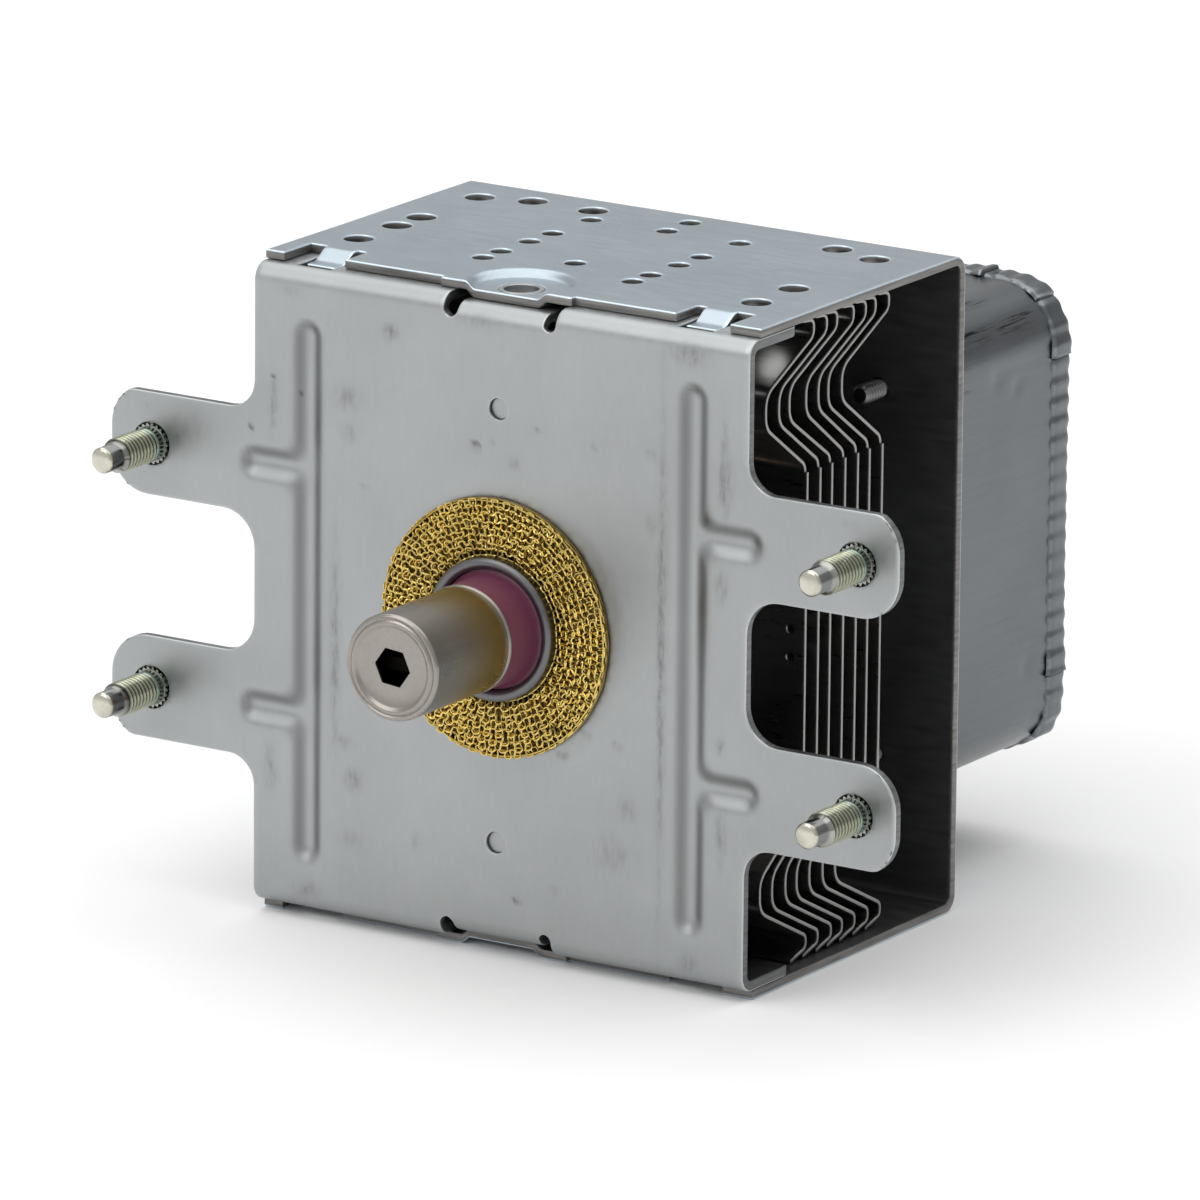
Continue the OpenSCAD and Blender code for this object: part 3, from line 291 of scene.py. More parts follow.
def thick_sheet(loops, across, along, thickness, edge, fold):
    """A bent sheet with rounded sheared edges, from its flat pattern and a function that folds it.

    fold(flat, depth) gives the place of a flat point at a depth below the outer face. The two faces stop short of
    the outline by the rounding, and five strips join them: round, straight across the cut, and round again. The
    faces' marks are 0 on the outer face and its rounding, 1 on the cut, and 2 on the inner face. The points'
    painted highlight, which passes for wear, is 1 along the outer rounding."""
    flat, way, quads, corners, cut = trimmed_grid(loops, across, along)
    count = len(flat)
    rim = np.unique(cut)
    place = np.zeros(count, int)
    place[rim] = np.arange(len(rim))
    faces = flat.copy()
    faces[rim] -= edge * way[rim]
    small = edge * (1 - math.sqrt(0.5))
    steps = ((small, small), (0.0, edge), (0.0, thickness - edge), (small, thickness - small))
    flats = [faces, faces] + [flat[rim] - back * way[rim] for back, _ in steps]
    depths = [0.0, thickness] + [depth for _, depth in steps]
    points = np.concatenate([fold(f, np.full(len(f), d)) for f, d in zip(flats, depths)])
    rows = [rim] + [2 * count + k * len(rim) + np.arange(len(rim)) for k in range(4)] + [count + rim]
    a, b = place[cut[:, 0]], place[cut[:, 1]]
    strips = [np.stack([p[b], p[a], q[a], q[b]], -1) for p, q in zip(rows, rows[1:])]
    skin = [quads, corners, quads[:, ::-1] + count, corners[:, ::-1] + count]
    kinds = (0, 0, 2, 2, 0, 0, 1, 1, 1)
    marks = np.concatenate([np.full(len(f), k) for k, f in zip(kinds, skin + strips)])
    # painted highlight along the outer rounding, passing for wear
    worn = np.zeros(len(points))
    worn[rim] = 0.2
    worn[2 * count : 2 * count + 2 * len(rim)] = 1.0
    return points, skin + strips, marks, worn


def rounded_path(points, radii):
    """A path with each inner corner replaced by a curve that starts and ends one tangent length from the corner.

    The curve is (1-t)^2 A + 2 t (1-t) P + t^2 B about the corner P, with tangents no longer than 0.48 of an arm."""
    p = np.array(points, float)
    a, b = p[:-2] - p[1:-1], p[2:] - p[1:-1]
    la, lb = np.linalg.norm(a, axis=1), np.linalg.norm(b, axis=1)
    a, b = a / la[:, None], b / lb[:, None]
    half = 0.5 * (np.pi - np.arccos(np.clip((a * b).sum(1), -1, 1)))
    reach = np.minimum(np.array(radii) * np.tan(half), 0.48 * np.minimum(la, lb))[:, None]
    t = np.linspace(0, 1, 9)[None, :, None]
    start, corner, end = ((p[1:-1] + v)[:, None] for v in (reach * a, 0 * a, reach * b))
    curve = (1 - t) ** 2 * start + 2 * t * (1 - t) * corner + t**2 * end
    return chain(p[:1], curve.reshape(-1, 2), p[-1:])


def turned(radius, along, centre=(0.0, 0.0), phase=0.0, sides=120):
    """A turned surface about an axis along Y: x = cx + r cos a, z = cz + r sin a.

    r is given per row and angle, or per row alone, which is then repeated round the sides."""
    if radius.ndim == 1:
        radius = np.repeat(radius[:, None], sides, 1)
    rows, sides = radius.shape
    a = np.linspace(0, 2 * np.pi, sides, endpoint=False) + phase
    x = centre[0] + radius * np.cos(a)
    z = centre[1] + radius * np.sin(a)
    y = np.broadcast_to(along[:, None], radius.shape)
    return np.stack([x, y, z], -1).reshape(-1, 3), grid_quads(rows, sides, wrap_cols=True)


def rounded_loop(width, height, r, count):
    """Evenly spaced points round a rectangle with round corners, their outward directions and their ways round it."""
    corners, turns = [], []
    for k, (sx, sy) in enumerate(((1, 1), (-1, 1), (-1, -1), (1, -1))):
        corners.append(arc(sx * (width / 2 - r), sy * (height / 2 - r), r, 90 * k, 90 * k + 90, 24))
        turns.append(np.linspace(90 * k, 90 * k + 90, 24))
    line = np.concatenate(corners + [corners[0][:1]])
    turn = np.radians(np.concatenate(turns + [[360.0]]))
    run = lengths(line)
    at = np.linspace(0, run[-1], count, endpoint=False)
    angle = np.interp(at, run, turn)
    return follow(at, run, line), np.stack([np.cos(angle), np.sin(angle)], -1), at


def wire(path, r, sides=5):
    """A round closed wire along a path: a ring of points about each of its points.

    The ring lies across the path's direction d, on n = d x Y and b = d x n."""
    d = unit(np.roll(path, -1, axis=0) - np.roll(path, 1, axis=0))
    n = unit(np.cross(d, (0.0, 1.0, 0.0)))
    b = np.cross(d, n)
    a = np.linspace(0, 2 * np.pi, sides, endpoint=False)[:, None]
    ring = path[:, None] + r * (np.cos(a) * n[:, None] + np.sin(a) * b[:, None])
    return ring.reshape(-1, 3), grid_quads(len(path), sides, True, True)


def joined(*shapes):
    """Several (points, quads) shapes as one."""
    start = np.cumsum([0] + [len(points) for points, _ in shapes[:-1]])
    return np.concatenate([p for p, _ in shapes]), np.concatenate([q + s for (_, q), s in zip(shapes, start)])


def add_piece(name, points, faces, materials, slot, replaces=(), close=False, marks=None, **values):
    """A piece from points in millimetres and lists of faces, smooth, on the one body.

    Its values are numbers at the points, which its material reads. Its marks say which material a face has."""
    mesh = bpy.data.meshes.new(name)
    mesh.from_pydata((points * MM).tolist(), [], [f for group in faces for f in group.tolist()])
    for key, value in values.items():
        mesh.attributes.new(key, "FLOAT", "POINT").data.foreach_set("value", value.astype(np.float32))
    if close:
        shape = bmesh.new()
        shape.from_mesh(mesh)
        bmesh.ops.remove_doubles(shape, verts=shape.verts, dist=SEAM)
        bmesh.ops.recalc_face_normals(shape, faces=shape.faces)
        shape.to_mesh(mesh)
        shape.free()
    mesh.update()
    mesh.polygons.foreach_set("use_smooth", np.ones(len(mesh.polygons), bool))
    mesh.set_sharp_from_angle(angle=SHARP_ANGLE)
    piece = bpy.data.objects.new(name, mesh)
    bpy.context.scene.collection.objects.link(piece)
    for material in materials:
        mesh.materials.append(material)
    if marks is not None:
        mesh.polygons.foreach_set("material_index", marks.astype(np.int32))
    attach(piece, BODY)
    if replaces:
        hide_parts(*replaces)


def add_closed(name, shape, material, slot, *replaces, **values):
    """A piece from one shape of points and quads, with its seams and poles closed."""
    points, quads = shape
    add_piece(name, points, [quads], [material], slot, replaces, True, **values)


# Finishes made of nodes


NOISE_ROUGHNESS = 0.55


def node(tree, kind, inputs=None, **settings):
    """A shader node with its settings, and its inputs as values or as sockets to join."""
    made = tree.nodes.new(kind)
    for key, value in settings.items():
        setattr(made, key, value)
    for key, value in (inputs or {}).items():
        if isinstance(value, bpy.types.NodeSocket):
            tree.links.new(value, made.inputs[key])
        else:
            made.inputs[key].default_value = value
    return made


def blank(name, **values):
    """A new material with its tree, its shader and the object's own coordinates."""
    material = bpy.data.materials.new(name)
    material.use_nodes = True
    tree = material.node_tree
    shader = tree.nodes["Principled BSDF"]
    for key, value in values.items():
        shader.inputs[key.title()].default_value = value
    return material, tree, shader, node(tree, "ShaderNodeTexCoord").outputs["Object"]


def noise(tree, coords, scale, detail=3.0, stretch=(1, 1, 1)):
    """Noise of the given scale to the metre, drawn out along an axis by stretch."""
    place = node(tree, "ShaderNodeMapping", {"Vector": coords, "Scale": stretch})
    values = {"Vector": place.outputs[0], "Scale": scale, "Detail": detail, "Roughness": NOISE_ROUGHNESS}
    return node(tree, "ShaderNodeTexNoise", values).outputs["Fac"]


def spread(tree, value, low, high, out_low, out_high):
    """A value from one range carried to another."""
    ranges = {"Value": value, "From Min": low, "From Max": high, "To Min": out_low, "To Max": out_high}
    return node(tree, "ShaderNodeMapRange", ranges, clamp=True).outputs[0]


def point_value(tree, name):
    """A number that the piece carries at its points."""
    return node(tree, "ShaderNodeAttribute", attribute_name=name).outputs["Fac"]


def math_of(tree, operation, a, b):
    """One sum or product of two values or sockets."""
    return node(tree, "ShaderNodeMath", {0: a, 1: b}, operation=operation).outputs[0]


def blend_colours(tree, factor, a, b):
    """Two colours mixed by a factor."""
    made = node(tree, "ShaderNodeMix", data_type="RGBA")
    for socket, value in ((made.inputs["Factor"], factor), (made.inputs[6], a), (made.inputs[7], b)):
        if isinstance(value, bpy.types.NodeSocket):
            tree.links.new(value, socket)
        else:
            socket.default_value = value if not isinstance(value, tuple) else (*value, 1.0)[:4]
    return made.outputs[2]


def shade(rgb, k):
    """A colour made lighter or darker."""
    return tuple(min(1.0, c * k) for c in rgb)


def finished(made, tone, roughness, height, strength, distance):
    """A blank material with its tone, its roughness and a fine relief, in millimetres, joined to its shader."""
    material, tree, shader, _ = made
    bump = node(tree, "ShaderNodeBump", {"Height": height, "Strength": strength, "Distance": distance * MM})
    for key, value in (("Base Color", tone), ("Roughness", roughness), ("Normal", bump.outputs[0])):
        tree.links.new(value, shader.inputs[key])
    return material


def metal(
    name,
    rgb,
    rough,
    grain=(1, 1, 1),
    grain_scale=900,
    vary=0.12,
    cloud=0.08,
    bump=0.12,
    soil=None,
    pits=0.0,
    speck_grain=(1, 1, 0.3),
    speck_scale=1300,
    speck_range=(0.3, 1.15),
):
    """A metal with fine grain drawn out along one axis and cloudy patches.

    With a soil colour it is soiled, darkened by painted shade and brightened on edges by a painted highlight that
    passes for wear, where the piece's points say so, and pits adds dark specks.
    """
    made = blank(name, metallic=1.0)
    _, tree, _, coords = made
    fine = noise(tree, coords, grain_scale, 4.0, grain)
    patch = noise(tree, coords, 55, 4.0)
    level = math_of(tree, "ADD", math_of(tree, "MULTIPLY", fine, vary), math_of(tree, "MULTIPLY", patch, cloud))
    level = spread(tree, level, 0.25 * (vary + cloud), 0.75 * (vary + cloud), 0, 1)
    tone = blend_colours(tree, level, shade(rgb, 1 - vary - cloud), shade(rgb, 1 + vary + cloud))
    roughness = spread(tree, fine, 0.3, 0.7, rough * 0.88, rough * 1.12)
    if soil:
        # painted shade: darkens the tone towards 0.3 of the colour where the points' value says so
        tone = blend_colours(tree, point_value(tree, "hollow"), tone, shade(rgb, 0.3))
        marks = point_value(tree, "soil")
        speck = noise(tree, coords, speck_scale, 5.0, speck_grain)
        marks = math_of(tree, "MULTIPLY", marks, spread(tree, speck, 0.4, 0.62, *speck_range))
        tone = blend_colours(tree, marks, tone, soil)
        # painted highlight, passing for wear: brightens the tone towards 1.75 of the colour on edges
        tone = blend_colours(tree, point_value(tree, "worn"), tone, shade(rgb, 1.75))
        roughness = math_of(tree, "ADD", roughness, math_of(tree, "MULTIPLY", marks, 0.2))
    if pits:
        cells = node(tree, "ShaderNodeTexVoronoi", {"Vector": coords, "Scale": 95.0, "Randomness": 1.0})
        chance = node(tree, "ShaderNodeSeparateColor", {0: cells.outputs["Color"]}).outputs[0]
        radius = spread(tree, chance, 1 - pits, 1.0, 0.0, 0.055)
        dot = math_of(tree, "LESS_THAN", cells.outputs["Distance"], radius)
        tone = blend_colours(tree, dot, tone, (0.03, 0.028, 0.026))
    return finished(made, tone, roughness, fine, bump, 0.05)


def dull(name, rgb, rough, vary, scale, bump):
    """A ceramic, resin or ferrite: one colour with fine and cloudy variation and a fine grain."""
    made = blank(name)
    _, tree, _, coords = made
    fine = noise(tree, coords, scale, 5.0)
    tone = blend_colours(tree, spread(tree, fine, 0.3, 0.7, 0, 1), shade(rgb, 1 - vary), shade(rgb, 1 + vary))
    return finished(made, tone, spread(tree, fine, 0.3, 0.7, rough * 0.85, rough * 1.15), fine, bump, 0.04)


def sheared_edge(name, rgb):
    """The broken edge of a cut sheet: fine stripes along the cut."""
    return metal(name, rgb, 0.5, (0.06, 0.06, 1), 2200, 0.4, 0.1, 0.5)


def stud_zinc(rgb):
    """Passivated zinc along a stud: pale worn end, a painted dark reflection on the point, yellow thread and a greenish
    neck.
    """
    made = blank("yellow_zinc", metallic=1.0)
    _, tree, _, coords = made
    y = node(tree, "ShaderNodeSeparateXYZ", {0: coords}).outputs["Y"]
    cloud = noise(tree, coords, 420, 4.0)
    place = math_of(tree, "ADD", spread(tree, y, CAD_STUD_TIP * MM, 0, 0, 1), spread(tree, cloud, 0, 1, -0.012, 0.012))
    ramp = node(tree, "ShaderNodeValToRGB", {0: place})
    stops = ramp.color_ramp.elements
    tones = (
        (0.0, (0.66, 0.64, 0.55)),
        (0.022, (0.62, 0.60, 0.50)),
        # the point's dark grey is a painted dark reflection
        (0.04, (0.2, 0.205, 0.21)),
        (0.23, (0.2, 0.205, 0.21)),
        (0.27, (0.42, 0.42, 0.40)),
        (0.38, rgb),
        (0.76, rgb),
        (0.87, (0.27, 0.35, 0.29)),
        (0.96, (0.22, 0.27, 0.24)),
        (1.0, (0.40, 0.40, 0.38)),
    )
    for k, (at, tone) in enumerate(tones):
        stop = stops[k] if k < 2 else stops.new(at)
        stop.position = at
        stop.color = (*tone, 1.0)
    tone = blend_colours(tree, spread(tree, cloud, 0.3, 0.7, 0.0, 0.35), ramp.outputs[0], (0.24, 0.25, 0.2))
    # painted shade in the thread's grooves
    tone = blend_colours(tree, point_value(tree, "hollow"), tone, (0.02, 0.02, 0.012))
    return finished(made, tone, spread(tree, cloud, 0.3, 0.7, 0.16, 0.3), noise(tree, coords, 2500), 0.1, 0.03)


def tinted_cap(rgb, tint):
    """The drawn cap's metal: fine grain along it, a heat tint towards its base, and painted shade: a black inside."""
    made = blank("tinted_cap", metallic=1.0)
    _, tree, _, coords = made
    y = node(tree, "ShaderNodeSeparateXYZ", {0: coords}).outputs["Y"]
    cloud = noise(tree, coords, 160, 4.0)
    heat = math_of(tree, "ADD", spread(tree, y, -0.0215, -0.0095, 0, 1), math_of(tree, "MULTIPLY", cloud, 0.3))
    heat = spread(tree, heat, 0.3, 1.1, 0, 1)
    heat = math_of(tree, "MULTIPLY", heat, spread(tree, y, (CAP_BASE - 1.25) * MM, (CAP_BASE - 1.1) * MM, 1, 0.15))
    fine = noise(tree, coords, 1400, 4.0, (1, 0.1, 1))
    tone = blend_colours(tree, fine, shade(rgb, 0.9), shade(rgb, 1.1))
    tone = blend_colours(tree, heat, tone, tint)
    # painted shade: the cap's inside is painted black
    tone = blend_colours(tree, point_value(tree, "hollow"), tone, (0.004, 0.004, 0.004))
    return finished(made, tone, spread(tree, cloud, 0.3, 0.7, 0.24, 0.36), fine, 0.06, 0.03)


def dress(names, material):
    """Gives solids their finish."""
    for name in names:
        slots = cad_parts[name].data.materials
        slots.clear()
        slots.append(material)


# The two pressed sheets


PLATE_T = 1.5
YOKE_T = 1.3
PLATE_BEND = 2.5
YOKE_BEND = 2.5
FLANGE_END = 12.0
FLANGE_Z = YOKE_HIGH[2] - YOKE_T - 0.05
PLATE_HALF = YOKE_HIGH[0]
PATTERN_X = -1.0
DIMPLE_DEPTH = 1.0
SLOT_X, SLOT_W, SLOT_Z = 8.2, 2.1, FLANGE_Z - 3.2
STUD_X, STUD_Z, STUD_HOLE_R = 58.5, 17.8, 3.12
EAR_H, EAR_R, EAR_CUT, ROOT_OUT, ROOT_IN = 15.0, 6.1, 0.7, 4.2, 5.2
RIB_X, RIB_END, EAR_RIB_END, RIB_BLEND = 31.9, 40.0, 43.9, 2.4
NOTCH_X, NOTCH_W, NOTCH_Y, TAB_W, TAB_SHIFT = 32.1, 9.4, 9.6, 5.0, 0.6
TAB_DROP, TAB_RUN, TAB_GAP = 1.5, 3.2, 0.4
DIMPLE_Y, DIMPLE_R, DIMPLE_RUN, EYELET_R, EYELET_WALL = 7.2, 7.8, 1.3, 3.3, 0.8
YOKE_EDGE_Y, LUG_EDGE_Y, LUG_HALF, YOKE_CELL_X, YOKE_CELL_U = 4.1, 3.2, 10.8, 0.62, 1.7
WIDE_HOLE_R, WIDE_HOLE_IN, SMALL_HOLE_R = 2.15, 7.9, 1.55
SCREW_HOLE_R, SCREW_HOLE_X, SCREW_HOLE_Z = 1.6, 27.6, 26.75
PLATE_BORE_R, YOKE_BORE_R, SEAT_R, SEAT_RUN, SEAT_DEPTH = 9.6, 11.5, 21.4, 2.2, 0.12
TAB_X = tuple(PATTERN_X + side * (NOTCH_X - TAB_SHIFT) for side in (-1, 1))
MARK_Z, MARK_R, MARK_CELL = 31.2, 1.55, 0.3
QUARTER = math.pi / 2


def plate_outlines():
    """Flat pattern of the front plate in x and the way s up its face, round its bends and along its flanges."""
    arm = PLATE_BEND * QUARTER
    start = FLANGE_Z - PLATE_BEND
    end = start + arm + FLANGE_END - PLATE_BEND
    window = start + arm
    tip = PLATE_HIGH[0] - EAR_R
    low, high = STUD_Z - EAR_H / 2, STUD_Z + EAR_H / 2
    upper = high + EAR_CUT - EAR_R
    cut = math.degrees(math.asin((high - upper) / EAR_R))
    ear = chain(
        arc(PLATE_HALF + ROOT_IN, low - ROOT_IN, ROOT_IN, 180, 90),
        arc(tip, low + EAR_R, EAR_R, -90, 0),
        arc(tip, upper, EAR_R, 0, cut),
        arc(PLATE_HALF + ROOT_OUT, high + ROOT_OUT, ROOT_OUT, 270, 180),
        [[PLATE_HALF, end]],
    )
    out, into, bottom = SLOT_X + SLOT_W / 2, SLOT_X - SLOT_W / 2, SLOT_Z + SLOT_W / 2
    half = TAB_W / 2 + TAB_GAP

    def gap(x):
        return np.array([[x + half, end], [x + half, window], [x - half, window], [x - half, end]])

    top = chain(
        gap(TAB_X[1]),
        [[out, end]],
        arc(SLOT_X, bottom, SLOT_W / 2, 0, -180),
        [[into, end - DIMPLE_DEPTH], [-into, end - DIMPLE_DEPTH]],
        arc(-SLOT_X, bottom, SLOT_W / 2, 0, -180),
        [[-out, end]],
        gap(TAB_X[0]),
    )
    half_loop = chain(ear, top, ear[::-1] * (-1, 1))
    loop = chain(half_loop, half_loop[::-1] * (1, -1))
    holes = [circle(0, 0, PLATE_BORE_R, 72), circle(0, MARK_Z, MARK_R, 28), circle(0, -MARK_Z, MARK_R, 28)]
    holes += [circle(*at, STUD_HOLE_R) for at in four(STUD_X, STUD_Z)]
    return [loop] + holes


def rib_press(x, up, sizes):
    """How far the ribs press the face back: full in their middle, and falling along a soft wall.

    The way to the upright rib and the one to the ear's rib are joined by a smooth minimum, which fills the corner."""
    half = sizes.rib_width / 2
    upright = np.hypot(np.abs(x) - RIB_X, np.maximum(up - (RIB_END - half), 0))
    ends = np.maximum(np.abs(x) - (EAR_RIB_END - half), 0) + np.maximum(RIB_X - np.abs(x), 0)
    across = np.hypot(up - STUD_Z, ends)
    share = np.clip(0.5 + 0.5 * (across - upright) / RIB_BLEND, 0, 1)
    both = across * (1 - share) + upright * share - RIB_BLEND * share * (1 - share)
    near = np.where(np.abs(x) < RIB_X, upright, both)
    return sizes.rib_depth * smooth((half - near) / sizes.rib_wall)


def folded_plate(flat, depth, sizes):
    """The front plate: z = s up to the bend, then a quarter circle, then y along the flange, at a depth behind it.

    Ribs and the gasket's seat press the face back."""
    x, s = flat.T
    up = np.abs(s)
    middle = smooth((SLOT_X + SLOT_W / 2 - np.abs(x)) / SLOT_W)
    start = FLANGE_Z - PLATE_BEND - DIMPLE_DEPTH * middle
    turn = np.clip((up - start) / PLATE_BEND, 0, QUARTER)
    bend = PLATE_BEND - depth
    z = np.minimum(up, start) + bend * np.sin(turn)
    y = PLATE_BEND - bend * np.cos(turn) + np.maximum(up - start - PLATE_BEND * QUARTER, 0)
    press = rib_press(x, up, sizes) + SEAT_DEPTH * smooth((SEAT_R - np.hypot(x, s)) / SEAT_RUN)
    face = smooth((start - up) / 2)
    return np.stack([x, y + face * (press + sizes.ripple * waves(x, s, 1)), np.sign(s) * z], -1)


def plate_hollow(points, sizes):
    """Painted shade of the front plate: the ribs' walls are darkened, most on those that face down or aside."""
    x, y, z = points.T
    part = rib_press(x, np.abs(z), sizes) / sizes.rib_depth
    above = rib_press(x, np.abs(z + 0.4), sizes) / sizes.rib_depth
    wall = 4 * part * (1 - part)
    facing_up = np.clip((above - part) * 4, 0, 1)
    return 0.62 * wall * (1 - facing_up) * (np.abs(y) < 4)


# Soft blots of the front plate, then small dark pits: x, z, width, height, strength
BLOTS = (
    (-17.9, 39.7, 1.16, 1.15, 0.5), (-25.2, 29.2, 2.15, 1.58, 0.3), (-24.7, 24.2, 1.32, 1.44, 0.25),
    (-37.6, 26.5, 0.58, 3.74, 0.4), (-34.7, 43.2, 1.49, 0.58, 0.25), (-27.1, -6.1, 0.66, 12.23, 0.45),
    (-22.3, 16.9, 0.66, 0.29, 0.3), (27.1, 0.9, 0.58, 28.78, 0.55), (37.2, 25.9, 0.99, 4.03, 0.4),
    (37.0, 30.8, 0.50, 5.04, 0.3), (31.4, 43.3, 2.81, 1.29, 0.42), (2.8, 23.9, 0.83, 0.86, 0.35),
    (6.4, 29.2, 0.83, 0.36, 0.4), (25.2, 28.4, 0.83, 0.58, 0.3), (25.2, 18.4, 0.66, 1.15, 0.3),
    (36.9, 11.4, 0.99, 2.16, 0.35), (-24.0, -25.8, 1.49, 1.44, 0.4), (-25.5, -20.5, 1.32, 0.86, 0.3),
    (-38.0, -26.0, 0.99, 3.17, 0.35), (-31.7, -43.3, 2.31, 1.15, 0.4), (-13.4, -33.1, 0.58, 1.15, 0.25),
    (-24.2, -34.7, 1.98, 1.15, 0.2), (20.1, -14.1, 0.66, 0.50, 0.5), (11.1, -16.8, 0.83, 0.50, 0.6),
    (15.0, -13.3, 0.66, 0.50, 0.4), (21.7, -22.9, 1.32, 1.44, 0.3), (19.4, -29.8, 2.98, 2.30, 0.25),
    (37.1, -24.7, 0.66, 3.60, 0.4), (37.0, -11.3, 0.66, 1.15, 0.35), (9.7, -36.4, 0.58, 0.58, 0.3),
    (31.9, -43.3, 1.32, 1.15, 0.4), (-3.1, 43.2, 2.64, 1.01, 0.22), (-59.5, 23.2, 0.66, 0.43, 0.2),
    (57.4, 23.2, 1.65, 0.43, 0.15), (54.6, -7.6, 1.98, 0.43, 0.15),
    (-3.7, 25.5, 0.42, 0.5, 2.2), (-0.9, 26.7, 0.3, 0.22, 1.6), (15.9, 28.1, 0.22, 0.2, 1.4),
    (-41.3, 22.8, 0.34, 0.34, 2.4), (-33.3, 28.8, 0.2, 0.24, 2.0), (-37.7, 30.6, 0.2, 0.2, 1.4),
    (3.6, -38.9, 0.36, 0.34, 2.0),
)


def plate_soil(points):
    """Smudges of the front plate: soft blots, each drawn out upwards or to one side, and rubbed streaks."""
    x, z, width, height, strength = np.array(BLOTS).T
    shape = np.exp(-(((points[:, 0, None] - x) / width) ** 2) - ((points[:, 2, None] - z) / height) ** 2)
    return np.clip((strength * shape).sum(1), 0, 1)


def yoke_outlines():
    """Flat pattern of the yoke in x and the way u from the back's middle, round a bend, to a front edge."""
    run = yoke_run()
    lug_0, lug_1 = PATTERN_X - LUG_HALF, PATTERN_X + LUG_HALF
    stub, edge, lug = run - YOKE_LOW[1], run - YOKE_EDGE_Y, run - LUG_EDGE_Y

    def notch(side):
        x = PATTERN_X + side * NOTCH_X
        tab = PATTERN_X + side * (NOTCH_X - TAB_SHIFT)
        deep = run - NOTCH_Y
        outer, inner = (stub, edge) if side > 0 else (edge, stub)
        return [
            [x + NOTCH_W / 2, outer],
            [x + NOTCH_W / 2, deep],
            [tab + TAB_W / 2, deep],
            [tab + TAB_W / 2, edge],
            [tab - TAB_W / 2, edge],
            [tab - TAB_W / 2, deep],
            [x - NOTCH_W / 2, deep],
            [x - NOTCH_W / 2, inner],
        ]

    top = np.array(
        [[PLATE_HALF, stub]]
        + notch(1)
        + [[lug_1, edge], [lug_1, lug], [lug_0, lug], [lug_0, edge]]
        + notch(-1)
        + [[-PLATE_HALF, stub]]
    )
    loop = chain(top, top[::-1] * (1, -1))
    back = YOKE_HIGH[1]
    side = PLATE_HALF - WIDE_HOLE_IN
    wide = [[x, y] for x in (-side, side) for y in (15.8, 25.5, back - 10)]
    wide += [[-side, 31.7], [-25.4, back - 7.8], [-15.2, back - 7.8], [25.5, back - 7.8]]
    small = [[x, y] for x in (-12.4, 12.4) for y in (16.3, 20.9, 28.2, 34.1, back - 12.6)]
    small += [[0, 20.8], [0, back - 12.1], [0, back - 6.1]]
    holes = [circle(PATTERN_X + x, run - y, WIDE_HOLE_R) for x, y in wide]
    holes += [circle(PATTERN_X + x, run - y, SMALL_HOLE_R, 28) for x, y in small]
    holes += [circle(PATTERN_X, way * (run - DIMPLE_Y), EYELET_R) for way in (-1, 1)]
    holes += [circle(0, 0, YOKE_BORE_R, 72)]
    holes += [circle(*at, SCREW_HOLE_R, 28) for at in four(SCREW_HOLE_X, SCREW_HOLE_Z)]
    return [loop] + holes


def yoke_run():
    """Length of the yoke's pattern from the back's middle to the front face's level."""
    return YOKE_HIGH[2] - YOKE_BEND + YOKE_BEND * QUARTER + YOKE_HIGH[1] - YOKE_BEND


def folded_yoke(flat, depth, ripple):
    """The yoke's outer face: z = u on the back, then a quarter circle, then forward along a plate.

    The lug's dimple and the locking tabs are pressed inwards."""
    x, u = flat.T
    up = np.abs(u)
    start = YOKE_HIGH[2] - YOKE_BEND
    turn = np.clip((up - start) / YOKE_BEND, 0, QUARTER)
    past = np.maximum(up - start - YOKE_BEND * QUARTER, 0)
    bend = YOKE_BEND - depth
    z = np.minimum(up, start) + bend * np.sin(turn)
    y = YOKE_HIGH[1] - YOKE_BEND + bend * np.cos(turn) - past
    on_plate = past > 0
    r = np.hypot(x - PATTERN_X, y - DIMPLE_Y)
    drop = DIMPLE_DEPTH * smooth((DIMPLE_R - r) / DIMPLE_RUN)
    for tab in TAB_X:
        on_tab = np.abs(x - tab) < TAB_W / 2 + 0.2
        drop = drop + on_tab * TAB_DROP * smooth((NOTCH_Y - 0.4 - y) / TAB_RUN)
    uneven = ripple * waves(x, y * 1.3 + z, 4)
    drop = drop - 0.03 * np.exp(-(((r - DIMPLE_R - 0.5) / 0.7) ** 2))
    z = z - np.where(on_plate, drop + uneven, 0)
    y = y - np.where(on_plate, 0, uneven)
    return np.stack([x, y, np.sign(u) * z], -1)


def sheet_soil(points):
    """Faint rubbed patches of the yoke, from slow waves."""
    return 0.16 * smooth(waves(points[:, 0] * 2.3, points[:, 1] * 1.1 + points[:, 2], 6) * 1.4 - 0.2)


# Threads, wires and turned pieces


CASE_R = 8.7
STUD_R, STUD_RING_R, STUD_TOOTH, STUD_ROWS = 2.5, 2.58, 0.44, 110
SCREW_R, SCREW_HEAD_R, SCREW_HEAD_H, SCREW_GROOVE, SCREW_ROWS = 1.5, 3.0, 2.0, 0.36, 80
CAP_BASE, CAP_R, CERAMIC_R, FOOT_R = -7.9, 7.6, 7.72, 8.5
HEX_APOTHEM, HEX_TURN = 2.5, math.radians(5.5)


def threaded(y, r, pitch, depth, mask, sides=40):
    """Radius by row and angle: r less a V groove that climbs one pitch in a turn, where the mask is set."""
    a = np.arange(sides) / sides
    phase = (y[:, None] / pitch + a) % 1.0
    groove = np.clip(1.15 * np.abs(2 * phase - 1) - 0.1, 0, 1)
    return r[:, None] - depth * mask[:, None] * (1 - groove)


